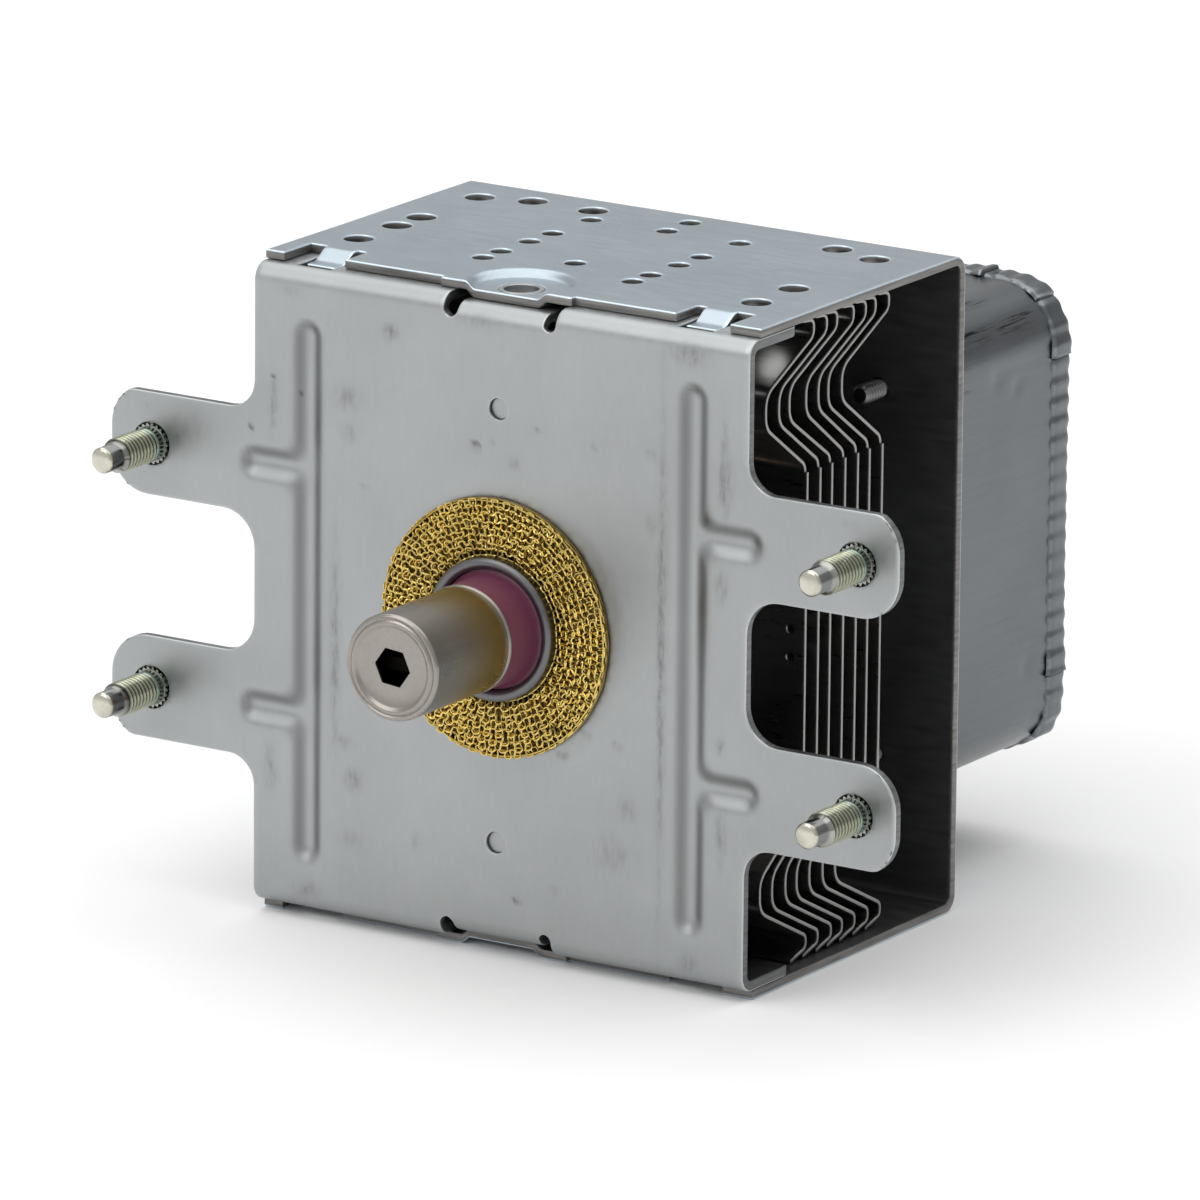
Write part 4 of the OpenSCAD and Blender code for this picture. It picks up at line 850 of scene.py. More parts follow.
def stud(centre, phase, sizes):
    """A stud: worn point, cone, thread, plain neck, a toothed ring in the plate's hole and a flat head behind it."""
    tip = CAD_STUD_TIP
    shoulder = tip + 3.0
    head = PLATE_T
    y = chain(
        [tip, tip, tip + 0.12, tip + 0.4, shoulder, shoulder + 0.1, shoulder + 0.75],
        np.linspace(shoulder + 0.8, -1.35, STUD_ROWS),
        [-1.2, -0.5, -0.2, -0.12, -0.12, 0.3, 0.3, head, head, head + 0.15, head + 1.05, head + 1.2, head + 1.2],
    )
    point = [0, 1.42, 1.62, 1.86, 1.9, 1.94, 2.46]
    neck = [2.45, 2.45, STUD_R, 2.55, STUD_RING_R, STUD_RING_R, STUD_R, STUD_R, 4.05, 4.2, 4.2, 4.05, 0]
    r = chain(point, np.full(STUD_ROWS, STUD_R), neck)
    mask = smooth((y - shoulder - 0.5) / 0.4) * smooth((-1.5 - y) / 0.4)
    radius = threaded(y, r, sizes.pitch, sizes.depth, mask, 4 * sizes.teeth)
    a = np.arange(radius.shape[1]) / radius.shape[1]
    teeth = np.clip(0.5 + 0.8 * np.cos(2 * np.pi * sizes.teeth * a), 0, 1)
    on_ring = r == STUD_RING_R
    return turned(radius + on_ring[:, None] * STUD_TOOTH * teeth, y, centre, phase)


def groove(points, x, z, r, depth):
    """How deep points lie in the threads of four alike screws at (+-x, +-z): (r - distance from the axis) / depth."""
    away = np.hypot(np.abs(points[:, 0]) - x, np.abs(points[:, 2]) - z)
    return np.clip((r - away) / depth, 0, 1)


def screw(centre, phase, sizes):
    """A case screw: threaded shank with a chamfered end, and a rounded head behind the yoke."""
    end, seat, top = SCREW_LOW[1], SCREW_HIGH[1] - SCREW_HEAD_H, SCREW_HIGH[1]
    head = [seat, seat + 0.6, seat + 1.4, top - 0.15, top]
    y = chain([end, end, end + 0.35], np.linspace(end + 0.4, seat, SCREW_ROWS), head)
    r = chain([0, 1.05, 1.4], np.full(SCREW_ROWS, SCREW_R), [SCREW_HEAD_R, SCREW_HEAD_R, 2.8, 2.0, 0])
    mask = smooth((y - end - 0.3) / 0.3) * smooth((seat - y) / 0.5)
    return turned(threaded(y, r, sizes.screw_pitch, SCREW_GROOVE, mask, 32), y, centre, phase)


def antenna_cap():
    """The cap: bead, long side, rounded rim, a dished end with a six sided hole, and its inside.

    The hole's radius by angle is the six sided shape's: apothem / cos(angle to the middle of a side)."""
    tip, base = CAP_LOW[1], CAP_BASE
    rim = np.radians(np.linspace(0, 90, 9))
    y = chain(
        [base, base, base - 0.22, base - 0.45, base - 0.6, base - 0.8, base - 1.0, base - 1.2],
        np.linspace(base - 2.0, tip + 1.0, 10),
        tip + 0.7 - 0.6 * np.sin(rim),
        [tip + 0.2, tip + 0.22, tip + 0.1, tip, tip, tip + 0.08, tip + 0.3, tip + 0.4, tip + 0.42],
        [tip + 0.42, tip + 0.48, tip + 1.0, tip + 1.0, base - 0.1, base],
    )
    side = chain(
        [6.9, 7.7, 7.8, 7.72, 7.54, 7.66, 7.66, 7.56],
        np.full(10, CAP_R),
        CAP_R - 0.6 + 0.6 * np.cos(rim),
        [6.86, 6.76, 6.62, 6.45, 6.2, 6.05, 5.75, 5.55, 3.6],
    )
    angle = np.linspace(0, 2 * np.pi, 144, endpoint=False)
    turn = (angle + HEX_TURN) % (np.pi / 3) - np.pi / 6
    hexagon = HEX_APOTHEM / np.cos(turn)
    side, inside = (np.repeat(np.array(r)[:, None], len(angle), 1) for r in (side, [6.8, 6.8, 6.9]))
    return turned(chain(side, [hexagon + 0.05, hexagon, hexagon], inside), y)


def ceramic_tube():
    """The output ceramic: a tube with rounded edges and a wider foot, from inside the cap to its seat."""
    front, back = CAP_BASE - 0.6, box_mm("output_ceramic")[1][1]
    foot = np.radians(np.linspace(0, 90, 7))
    flare = FOOT_R - (FOOT_R - CERAMIC_R) * np.cos(foot)
    r = chain([6.1, CERAMIC_R - 0.2, CERAMIC_R], flare, [FOOT_R, 6.1, 6.1])
    y = chain([front, front, front + 0.2], -2.6 + 1.2 * np.sin(foot), [back, back, front])
    return turned(r, y)


def lipped_ring():
    """The steel ring inside the gasket: a tube whose front edge is rolled over outwards."""
    lip = np.radians(np.linspace(180, 0, 17))
    r = chain([8.65, 8.65], 9.47 + 0.82 * np.cos(lip), [10.29, 9.5, 9.5, 8.5, 8.5])
    y = chain([0.35, -1.0], -1.75 - 0.66 * np.sin(lip), [-0.02, -0.02, 0.55, 0.55, 0.35])
    return turned(np.append(r, r[0]), np.append(y, y[0]))


def pressed_mark(side):
    """A half pierced disc of the front plate."""
    r = np.array([0, MARK_R - 0.1, MARK_R - 0.03, MARK_R - 0.03, 0])
    y = np.array([0.6, 0.6, 0.68, PLATE_T + 0.4, PLATE_T + 0.4])
    return turned(r, y, (0.0, side * MARK_Z), sides=28)


def knitted_ring(sizes):
    """Rows of knitted stitches round the output, in two layers, the lower one turned round.

    Along a row a stitch goes by t + 0.13 sin(4 pi t), across it by cos(2 pi t), and in depth by -cos(2 pi t), so that
    each loop's round end lies in front of the next row. Each stitch differs a little from the last one. Three more
    wires run round the outer edge."""
    inner, outer = 10.4, GASKET_HIGH[0] - 0.16
    pitch, per = (outer - inner) / sizes.rows, 15
    shapes = []
    for layer, row in ((a, b) for a in (0, 1) for b in range(sizes.rows)):
        middle = inner + pitch * (row + 0.5 - 0.12 * layer)
        count = round(2 * np.pi * middle / sizes.stitch)
        t = np.arange(count * per) / per
        size, tilt, lean = (
            np.interp(t, np.arange(count), scatter(count, 3.1 * row + 40 * layer + k), period=count) for k in (1, 2, 3)
        )
        up = np.cos(2 * np.pi * t) * (1 - 2 * layer)
        along = t + 0.37 * row + (0.13 + 0.05 * size) * np.sin(4 * np.pi * t) + 0.2 * lean
        r = np.clip(middle + (0.66 + 0.16 * size) * pitch * up + 0.18 * tilt, inner, outer)
        a = 2 * np.pi * along / count
        dome = 1 - 0.3 * np.abs((2 * r - inner - outer) / (outer - inner)) ** 5
        y = (GASKET_LOW[1] + 0.36 + 0.34 * layer) * dome - 0.17 * up * (1 - 2 * layer) + 0.12 * tilt
        y = y - 0.07 * np.cos(4 * np.pi * t)
        shapes.append(wire(np.stack([r * np.cos(a), y, r * np.sin(a)], -1), sizes.wire))
    a = np.linspace(0, 2 * np.pi, 240, endpoint=False)
    for r, y, seed in ((outer, -0.25, 1), (outer - 0.05, -0.55, 2), (outer - 0.3, -0.85, 3)):
        r, y = r + 0.05 * np.sin(17 * a + seed), y + 0.08 * np.sin(23 * a + 2 * seed)
        shapes.append(wire(np.stack([r * np.cos(a), y, r * np.sin(a)], -1), sizes.wire))
    return joined(*shapes)


def gasket_core():
    """The dense inside of the gasket, which its finish paints dark brass as painted shade between the wires: a low ring
    whose height falls to both edges.
    """
    inner, outer = 10.32, GASKET_HIGH[0] - 0.1
    v = np.linspace(-1, 1, 17)
    r = (inner + outer) / 2 + (outer - inner) / 2 * v
    y = -0.62 * (1 - v**6)
    return turned(np.append(r, r[0]), np.append(y, y[0]), sides=144)


def crimped_lid(sizes):
    """The lid: a rim that waves by cos(2 pi turn), with three open folds round each corner, a lower panel and a
    flat inside.

    From a fold's step the rim falls off by (1 - way / reach)^1.3. Also gives the painted shade under the folds, and
    painted highlights on the edges of the steps and the folds, passing for wear."""
    width, height = CASE_HIGH[0] * 2, CASE_HIGH[2] * 2
    quarter, reach = QUARTER * CASE_R, 5.5
    starts = np.cumsum([0, quarter + width - 2 * CASE_R, quarter + height - 2 * CASE_R, quarter + width - 2 * CASE_R])
    total = starts[3] + quarter + height - 2 * CASE_R
    crimps = round(total / sizes.pitch)
    count = crimps * 12
    loop, out, at = rounded_loop(width, height, CASE_R, count)
    steps = (starts[:, None] + quarter * np.array([-0.13, 0.52, 1.23])).ravel()
    way = ((at[:, None] - steps) % total).min(1)
    fold = np.clip(1 - way / reach, 0, 1) ** 1.3
    under = (((steps - at[:, None]) % total).min(1) < 1.5 * total / count).astype(float)
    bulge = 0.5 + 0.5 * np.cos(2 * np.pi * at / total * crimps)
    uneven = 0.85 + 0.2 * np.sin(at * 0.13) + 0.15 * np.sin(at * 0.41 + 1)
    wave = sizes.height * bulge * uneven + sizes.pleat * fold
    front, back = LID_LOW[1], LID_HIGH[1]
    rows = np.array(
        [
            # outward, share of the wave, y, share of the scallops
            [-0.02, 0.0, front - 0.1, 0.0],
            [0.03, 0.3, front, 1.0],
            [0.12, 0.7, front + 0.12, 1.0],
            [0.22, 0.95, front + 0.35, 1.0],
            [0.28, 1.0, front + 0.7, 0.8],
            [0.28, 1.0, front + 2.0, 0.3],
            [0.28, 1.0, back - 1.2, 0.0],
            [0.25, 1.0, back - 0.5, 0.0],
            [0.15, 0.95, back - 0.12, 0.0],
            [-0.1, 0.7, back, 0.0],
            [-0.6, 0.4, back, 0.0],
            [-1.4, 0.0, back, 0.0],
            [-1.8, 0.0, back - 0.15, 0.0],
        ]
    )
    ring = loop[None] + out[None] * (rows[:, 0, None] + rows[:, 1, None] * wave[None])[..., None]
    y = rows[:, 2, None] + rows[:, 3, None] * (0.2 - 0.2 * bulge - 0.5 * fold)[None]
    inside = chain(loop[None] * np.array([0.0, 0.5])[:, None, None], ring[:1])
    flat = chain(inside, ring, loop[None] * np.array([0.93, 0.91, 0.7, 0.4, 0.0])[:, None, None])
    panel = np.array([back - 0.15, back - 0.5, back - 0.5, back - 0.5, back - 0.5])
    y = chain(np.full((3, count), CASE_HIGH[1] + 0.05), y, np.repeat(panel[:, None], count, 1))
    # painted shade under the folds' steps
    dark = np.zeros((len(flat), count))
    dark[3:11] = under
    # painted highlight on the edges at the steps and along the folds, passing for wear
    worn = np.zeros((len(flat), count))
    worn[3:11] = 0.7 * (way < 1.5 * total / count)
    worn[5:7] = np.maximum(worn[5:7], 0.35 + 0.35 * fold)
    points = np.stack([flat[..., 0], y, flat[..., 1]], -1).reshape(-1, 3)
    return points, grid_quads(len(flat), count, wrap_cols=True), dark.ravel(), worn.ravel() * (1 - dark.ravel())


def drawn_box():
    """The filter box: its outline carried back from a rounded front edge, with shallow unevenness, dents and a wall."""
    count, wall = 480, 0.8
    loop, out, at = rounded_loop(CASE_HIGH[0] * 2, CASE_HIGH[2] * 2, CASE_R, count)
    front, back = CASE_LOW[1], CASE_HIGH[1]
    turn = np.radians(np.linspace(0, 90, 7))
    y = chain(front + 1.2 * (1 - np.cos(turn)), np.linspace(front + 1.6, back, 44))[:, None]
    inset = chain(1.2 * (1 - np.sin(turn)), np.zeros(44))[:, None]
    push = 0.05 * waves(at[None] * 1.6, y * 1.5, 7) - inset
    dents = ((33.4, 78.5, 24.2, 1.6), (33.4, 84.0, 22.0, 1.2), (33.4, 88.0, -20.0, 1.5), (-33.4, 70.0, -25.0, 2.0))
    for at_x, at_y, at_z, size in dents:
        d = (loop[None, :, 0] - at_x) ** 2 + (loop[None, :, 1] - at_z) ** 2 + (y - at_y) ** 2
        push = push - 0.22 * np.exp(-d / size**2)
    skin = loop[None] + out[None] * push[..., None]
    cover = loop[None] * np.array([0.36, 0.7, 0.95])[:, None, None]
    lining = np.repeat((loop - wall * out)[None], 2, 0)
    flat = chain(cover, skin, lining, cover[::-1])
    y = chain([[front]] * 3, y, [[back]], [[front + wall]] * 4)
    points = np.stack([flat[..., 0], np.broadcast_to(y, flat.shape[:2]), flat[..., 1]], -1).reshape(-1, 3)
    return points, grid_quads(len(flat), count, True, True)


# Streaks of the filter box: angle round the corner in degrees, its spread, from y, to y, strength
STREAKS = (
    (73.0, 3.0, 68.0, 84.0, 1.0), (66.0, 2.6, 76.0, 86.0, 0.7), (39.0, 2.8, 68.0, 92.0, 1.0),
    (28.0, 2.8, 68.0, 80.0, 1.0), (33.0, 9.0, 80.0, 92.0, 0.5), (9.0, 2.0, 68.0, 72.5, 0.8),
    (-12.0, 2.0, 68.0, 72.5, 0.8),
)


def box_streaks(points):
    """Dark drawing marks on the box's upper corner: bands at an angle round it, each along a stretch of y."""
    angle, width, start, end, strength = np.array(STREAKS).T
    x0, z0 = CASE_HIGH[0] - CASE_R, CASE_HIGH[2] - CASE_R
    turn = np.degrees(np.arctan2(points[:, 2] - z0, np.maximum(points[:, 0] - x0, 0.1)))[:, None]
    y = points[:, 1, None]
    band = np.exp(-(((turn - angle) / width) ** 2))
    stretch = smooth((y - start) / 2) * smooth((end - y) / 4)
    return np.clip((strength * band * stretch).sum(1), 0, 1)


def eyelet(side):
    """A short rolled tube that joins the front plate to the yoke's lug, about an axis along Z."""
    z0 = FLANGE_Z - DIMPLE_DEPTH - PLATE_T / 2
    z1 = YOKE_HIGH[2] - DIMPLE_DEPTH + 0.08
    out, into = EYELET_R - 0.05, EYELET_R - EYELET_WALL
    r = np.array([into, into, into + 0.15, out - 0.12, out, out])
    z = np.array([z0, z1 - 0.15, z1, z1, z1 - 0.12, z0])
    points, quads = turned(np.append(r, r[0]), np.append(z, z[0]), sides=48)
    moved = np.stack([points[:, 0] + PATTERN_X, points[:, 2] + DIMPLE_Y, side * points[:, 1]], -1)
    return moved, quads


FIN_COUNT, FIN_T, FIN_EDGE, FIN_PITCH, FIN_MID = 7, 0.5, 0.1, 3.29, 28.45
FIN_HALF, FIN_STEP, FIN_FLAT, FIN_STEP_Z = 38.6, 0.4, 25.0, 24.0
FIN_REACH, FIN_SLOPE, FIN_ARM, FIN_CURL, FIN_CURL_H, FIN_END = 10.4, 32.275, 36.975, 1.8, 1.8, 46.05
FIN_FOOT, FIN_FOOT_RISE, FIN_FLANGE, FIN_TOP = 4.0, 1.1, 2.9, 45.3
FIN_SHIFT = (0, 0.1, -0.1, 0.05, 0.1, -0.1, 0)
FIN_UP = (0, 0, -0.4, 0.5, 0.35, -0.15, 0)
FIN_LOW = (0, -0.2, 0.2, -0.3, -0.3, 0.1, 0)


def fin_path(k):
    """The bent line of a fin in y and z, from its foot up to its flange, with round bends."""
    y = FIN_MID + (k - (FIN_COUNT - 1) / 2) * FIN_PITCH + FIN_SHIFT[k]
    up, low = y + FIN_UP[k], y + FIN_LOW[k]
    points = [
        (low + FIN_CURL - FIN_FOOT, -FIN_END),
        (low + FIN_CURL, -FIN_END + FIN_FOOT_RISE),
        (low + FIN_CURL, -FIN_END + FIN_FOOT_RISE + FIN_CURL_H),
        (low - FIN_REACH, -FIN_ARM),
        (low - FIN_REACH, -FIN_SLOPE),
        (y, -FIN_FLAT),
        (y, FIN_FLAT),
        (up - FIN_REACH, FIN_SLOPE),
        (up - FIN_REACH, FIN_ARM),
        (up + FIN_CURL, FIN_TOP - FIN_CURL_H - 0.5),
        (up + FIN_CURL, FIN_TOP),
        (up + FIN_CURL - FIN_FLANGE, FIN_TOP + 0.35),
    ]
    return rounded_path(points, (0.9, 1.3, 3.2, 3.2, 1.8, 1.8, 3.2, 3.2, 2.2, 1.3)), y


def bent_fin(k):
    """One fin: a sheet carried along its bent line, wider in the middle, with a collar hole and two small holes."""
    path, y = fin_path(k)
    run = lengths(path)
    along = unit(np.gradient(path, run, axis=0))
    upright = np.abs(path[:, 0] - y) < 1e-6
    middle = np.interp(0.0, path[upright][:, 1], run[upright])
    step, out = FIN_STEP_Z, FIN_HALF + FIN_STEP
    corners = [(FIN_HALF, 0), (FIN_HALF, middle - step), (out, middle - step), (out, middle + step)]
    corners += [(FIN_HALF, middle + step), (FIN_HALF, run[-1])]
    corners = np.array(corners + [(-x, s) for x, s in corners[::-1]])
    bore = box_mm("anode_cylinder")[1][0]
    loops = [corners, circle(0, middle, bore, 72)]
    loops += [circle(FIN_HALF - 2.0, middle + z - 0.75, 0.7, 20) for z in (-2.05, 2.05)]
    across = spaced(-out, out, 3.0, (-22, 22, 1.6), (35.0, out, 0.42), (-out, -37.8, 0.42))
    extra = chain(np.arange(middle - 24, middle + 24.1, 2.0), np.arange(middle - 4, middle + 3, 0.42))
    rows = np.unique(np.round(chain(run, extra, np.linspace(0, run[-1], 60)), 2))
    rows = rows[chain([True], np.diff(rows) > 0.12)]
    rows[-1] = run[-1]

    def fold(flat, depth):
        x, s = flat.T
        ty, tz = unit(follow(s, run, along)).T
        y, z = follow(s, run, path).T
        lift = FIN_T / 2 - depth
        return np.stack([x, y + lift * tz, z - lift * ty], -1)

    return thick_sheet(loops, across, rows, FIN_T, FIN_EDGE, fold)[:2]


# Operators: one for each piece or group of like pieces


class MAGNETRON_OT_front_plate(bpy.types.Operator):
    """Makes the pressed front plate with its ribs, ears, slots and folded edges, and its two eyelets"""

    bl_idname = "magnetron.front_plate"
    bl_label = "Front plate"

    def execute(self, context):
        sizes, finish = context.scene.magnetron_sheets, context.scene.magnetron_finishes
        loops = plate_outlines()
        end, fine = loops[0][:, 1].max(), sizes.fine
        across = mirrored(fine, (RIB_X - 2.8, RIB_X + 2.8), (SLOT_X - 1.6, SLOT_X + 1.6))
        across += [(-2, 2, MARK_CELL)]
        along = mirrored(fine, (STUD_Z - 3.4, STUD_Z + 3.4), (FLANGE_Z - 4.6, FLANGE_Z + 1.6))
        along += mirrored(MARK_CELL, (MARK_Z - 2, MARK_Z + 2))
        points, faces, marks, worn = thick_sheet(
            loops,
            spaced(-PLATE_HIGH[0], PLATE_HIGH[0], sizes.cell, *across),
            spaced(-end, end, sizes.cell, *along),
            PLATE_T,
            sizes.edge,
            lambda flat, depth: folded_plate(flat, depth, sizes),
        )
        skin = metal("zinc_plate", finish.plate, 0.44, (1, 1, 0.3), 1100, 0.05, 0.06, 0.1, (0.10, 0.10, 0.10), 0.2)
        edge = sheared_edge("plate_edge", shade(finish.plate, 0.5))
        faces = [f[:, ::-1] for f in faces]
        # the back face is painted near black as shade inside the yoke; the ears' backs keep the plate's own finish
        inner = metal("painted_shade_back", (0.075, 0.078, 0.078), 0.5, (1, 1, 0.3), 1100, 0.1, 0.1, 0.1)
        on_ear = np.concatenate([points[f, 1].max(1) < 2.0 * PLATE_T for f in faces])
        on_ear &= np.concatenate([np.abs(points[f, 0]).max(1) > PLATE_HALF - 0.2 for f in faces])
        soil = plate_soil(points) * (points[:, 1] < 3)
        # painted shade on the ribs' walls, and a painted highlight on the rounded edges passing for wear
        values = {"soil": soil, "hollow": plate_hollow(points, sizes), "worn": 0.6 * worn}
        values["marks"] = np.where(on_ear & (marks == 2), 0, marks)
        finishes = [skin, edge, inner]
        add_piece("front_plate_sheet", points, faces, finishes, "plate_steel", ("front_plate",), **values)
        small = joined(eyelet(1), eyelet(-1), pressed_mark(1), pressed_mark(-1))
        add_closed("plate_eyelets_and_marks", small, skin, "plate_steel")
        return {"FINISHED"}


class MAGNETRON_OT_yoke(bpy.types.Operator):
    """Makes the folded yoke with its holes, notches, locking tabs and pressed lugs"""

    bl_idname = "magnetron.yoke"
    bl_label = "Yoke"

    def execute(self, context):
        sizes, finish = context.scene.magnetron_sheets, context.scene.magnetron_finishes
        loops, fine = yoke_outlines(), sizes.fine
        run = yoke_run()
        end, bend = loops[0][:, 1].max(), YOKE_HIGH[2] - YOKE_BEND
        lug = PATTERN_X - 9.6, PATTERN_X + 9.6
        along = [(bend + 4, run, 0.55), *mirrored(0.55, (25.0, 28.6)), (-12, 12, 1.0)]
        along += mirrored(fine, (bend - 0.5, bend + 4.4), (run - DIMPLE_Y - 9.4, run))
        points, faces, marks, worn = thick_sheet(
            loops,
            spaced(-PLATE_HALF, PLATE_HALF, YOKE_CELL_X, (*lug, fine)),
            spaced(-end, end, YOKE_CELL_U, *along),
            YOKE_T,
            sizes.edge,
            lambda flat, depth: folded_yoke(flat, depth, sizes.ripple),
        )
        skin = metal("galvanised", finish.yoke, 0.34, (0.12, 1, 1), 1500, 0.05, 0.06, 0.08, (0.2, 0.22, 0.23), 0.08)
        edge = sheared_edge("yoke_edge", (0.24, 0.235, 0.226))
        # the inner face is painted darker as shade inside the yoke; the rounded edges get a painted highlight passing
        # for wear
        inner = metal("painted_shade_inside", (0.17, 0.175, 0.175), 0.45, (0.12, 1, 1), 1300, 0.1, 0.1, 0.1)
        values = {"soil": sheet_soil(points), "worn": worn, "marks": marks}
        add_piece("yoke_sheet", points, faces, [skin, edge, inner], "yoke_steel", ("yoke",), **values)
        return {"FINISHED"}


class MAGNETRON_OT_studs(bpy.types.Operator):
    """Makes the four threaded studs and the four case screws"""

    bl_idname = "magnetron.studs"
    bl_label = "Studs and screws"

    def execute(self, context):
        sizes, finish = context.scene.magnetron_threads, context.scene.magnetron_finishes
        zinc = stud_zinc(finish.stud)
        steel = metal("screw_plating", (0.19, 0.19, 0.19), 0.3, (1, 1, 1), 1500, 0.1, 0.1, 0.1, (0.02, 0.02, 0.02))
        shape = joined(*[stud(at, 0.9 * k, sizes) for k, at in enumerate(four(STUD_X, STUD_Z))])
        y = shape[0][:, 1]
        on_thread = (y > CAD_STUD_TIP + 3.6) & (y < -1.3)
        # painted shade in the studs' thread grooves
        dark = on_thread * groove(shape[0], STUD_X, STUD_Z, 2.44, 0.6 * sizes.depth)
        add_closed("threaded_studs", shape, zinc, "stud_zinc", "mounting_studs", hollow=dark)
        x, z = SCREW_HIGH[0] - SCREW_HEAD_R, SCREW_HIGH[2] - SCREW_HEAD_R
        shape = joined(*[screw(at, 1.3 * k, sizes) for k, at in enumerate(four(x, z))])
        # painted shade in the screws' thread grooves
        dark = (shape[0][:, 1] > SCREW_LOW[1] + 0.4) * groove(shape[0], x, z, 1.45, SCREW_GROOVE)
        add_closed("threaded_case_screws", shape, steel, "screw_steel", "case_screws", hollow=dark)
        return {"FINISHED"}


class MAGNETRON_OT_gasket(bpy.types.Operator):
    """Makes the knitted wire gasket round the output"""

    bl_idname = "magnetron.gasket"
    bl_label = "Gasket"

    def execute(self, context):
        sizes, finish = context.scene.magnetron_gasket, context.scene.magnetron_finishes
        brass = metal("brass_wire", finish.brass, 0.17, (1, 1, 1), 900, 0.1, 0.12, 0.05, (0.02, 0.015, 0.01))
        # the core is painted dark brass as the shade deep between the wires
        deep = metal("brass_core_painted_shade", shade(finish.brass, 0.16), 0.5, (1, 1, 1), 700, 0.2, 0.2, 0.4)
        points, quads = knitted_ring(sizes)
        # painted shade: the wires darken the further back they lie
        low = np.clip((points[:, 1] - GASKET_LOW[1] - 0.2) / 0.7, 0, 1)
        burnt = 3 * np.exp(-(((points[:, 0] - 10.5) ** 2 + (points[:, 2] + 13.0) ** 2) / 0.55**2))
        values = {"hollow": low, "soil": np.clip(burnt, 0, 1)}
        add_closed("knitted_gasket", (points, quads), brass, "gasket_brass", "rf_gasket", **values)
        add_closed("gasket_core", gasket_core(), deep, "gasket_brass")
        return {"FINISHED"}


class MAGNETRON_OT_antenna(bpy.types.Operator):
    """Makes the antenna cap with its collar, the ceramic and the lipped ring"""

    bl_idname = "magnetron.antenna"
    bl_label = "Antenna"

    def execute(self, context):
        finish = context.scene.magnetron_finishes
        points, quads = antenna_cap()
        # painted shade: the cap's inside, seen through its hole, is painted black
        inside = (np.hypot(points[:, 0], points[:, 2]) < 6.95) & (points[:, 1] > CAP_LOW[1] + 0.5)
        cap, skin = (points, quads), tinted_cap(finish.cap, finish.tint[:])
        add_closed("drawn_cap", cap, skin, "cap_steel", "antenna_cap", "cap_collar", hollow=inside.astype(float))
        plum = dull("plum_ceramic", finish.ceramic, 0.42, 0.06, 900, 0.05)
        add_closed("ceramic_tube", ceramic_tube(), plum, "plum_ceramic", "output_ceramic")
        ring = metal("drawn_ring", (0.16, 0.16, 0.165), 0.34, (1, 1, 1), 900, 0.08, 0.08, 0.06)
        add_closed("lipped_ring", lipped_ring(), ring, "ring_steel", "gasket_ring")
        return {"FINISHED"}


class MAGNETRON_OT_tube(bpy.types.Operator):
    """Finishes the pieces inside the tube, the stem and the magnets"""

    bl_idname = "magnetron.tube"
    bl_label = "Tube"

    def execute(self, context):
        vanes = [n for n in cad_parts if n.startswith(("anode_vane", "strap_"))]
        hot = ["filament", "front_end_hat", "rear_end_hat", "centre_lead", "side_lead"]
        for names, name, rgb, rough, *grain in (
            (vanes + ["anode_cylinder"], "bare_copper", (0.72, 0.42, 0.28), 0.34, 700, 0.1, 0.12, 0.1),
            # the exhaust tube and antenna lead inside the cap are painted near black as shade
            (["exhaust_tube", "antenna_lead"], "blackened_copper", (0.008, 0.007, 0.006), 0.6, 900, 0.2, 0.2, 0.2),
            (["output_seal", "input_seal"], "seal_steel", (0.48, 0.48, 0.48), 0.35, 900, 0.1, 0.08, 0.1),
            (["output_pole", "input_pole"], "pole_iron", (0.36, 0.36, 0.36), 0.48, 800, 0.12, 0.12, 0.15),
            (hot, "tungsten", (0.3, 0.3, 0.31), 0.5, 1500, 0.15, 0.1, 0.2),
        ):
            dress(names, metal(name, rgb, rough, (1, 1, 1), *grain))
        dress(["cathode_stem"], dull("pale_ceramic", (0.72, 0.66, 0.63), 0.5, 0.08, 700, 0.08))
        dress(["front_magnet", "rear_magnet"], dull("ferrite", (0.035, 0.035, 0.037), 0.55, 0.3, 600, 0.25))
        dress(["centre_strip", "side_strip"], metal("tinned_strip", (0.6, 0.61, 0.62), 0.3))
        return {"FINISHED"}


class MAGNETRON_OT_fins(bpy.types.Operator):
    """Makes the seven bent cooling fins"""

    bl_idname = "magnetron.fins"
    bl_label = "Cooling fins"

    def execute(self, context):
        finish = context.scene.magnetron_finishes
        rolled = metal("rolled_aluminium", finish.fin, 0.3, (0.1, 1, 1), 1600, 0.06, 0.06, 0.08)
        for k in range(FIN_COUNT):
            points, faces = bent_fin(k)
            add_piece(f"bent_fin_{k + 1}", points, faces, [rolled], "fin_aluminium", (f"cooling_fin_{k + 1}",))
        return {"FINISHED"}


class MAGNETRON_OT_filter_box(bpy.types.Operator):
    """Makes the drawn filter box and its crimped lid"""

    bl_idname = "magnetron.filter_box"
    bl_label = "Filter box"

    def execute(self, context):
        finish = context.scene.magnetron_finishes
        along = (1, 0.05, 1)
        black = (0.012, 0.012, 0.012)
        streaky = {"speck_grain": along, "speck_scale": 2600, "speck_range": (-0.5, 1.5)}
        drawn = metal("drawn_aluminium", finish.case, 0.3, along, 1300, 0.07, 0.08, 0.1, black, **streaky)
        box = drawn_box()
        add_closed("drawn_filter_box", box, drawn, "box_aluminium", "filter_box", soil=box_streaks(box[0]))
        # the lid carries painted shade under its folds and painted highlights on its edges
        *lid, dark, worn = crimped_lid(context.scene.magnetron_lid)
        add_closed("crimped_lid", lid, drawn, "box_aluminium", "filter_lid", hollow=dark, worn=worn)
        return {"FINISHED"}


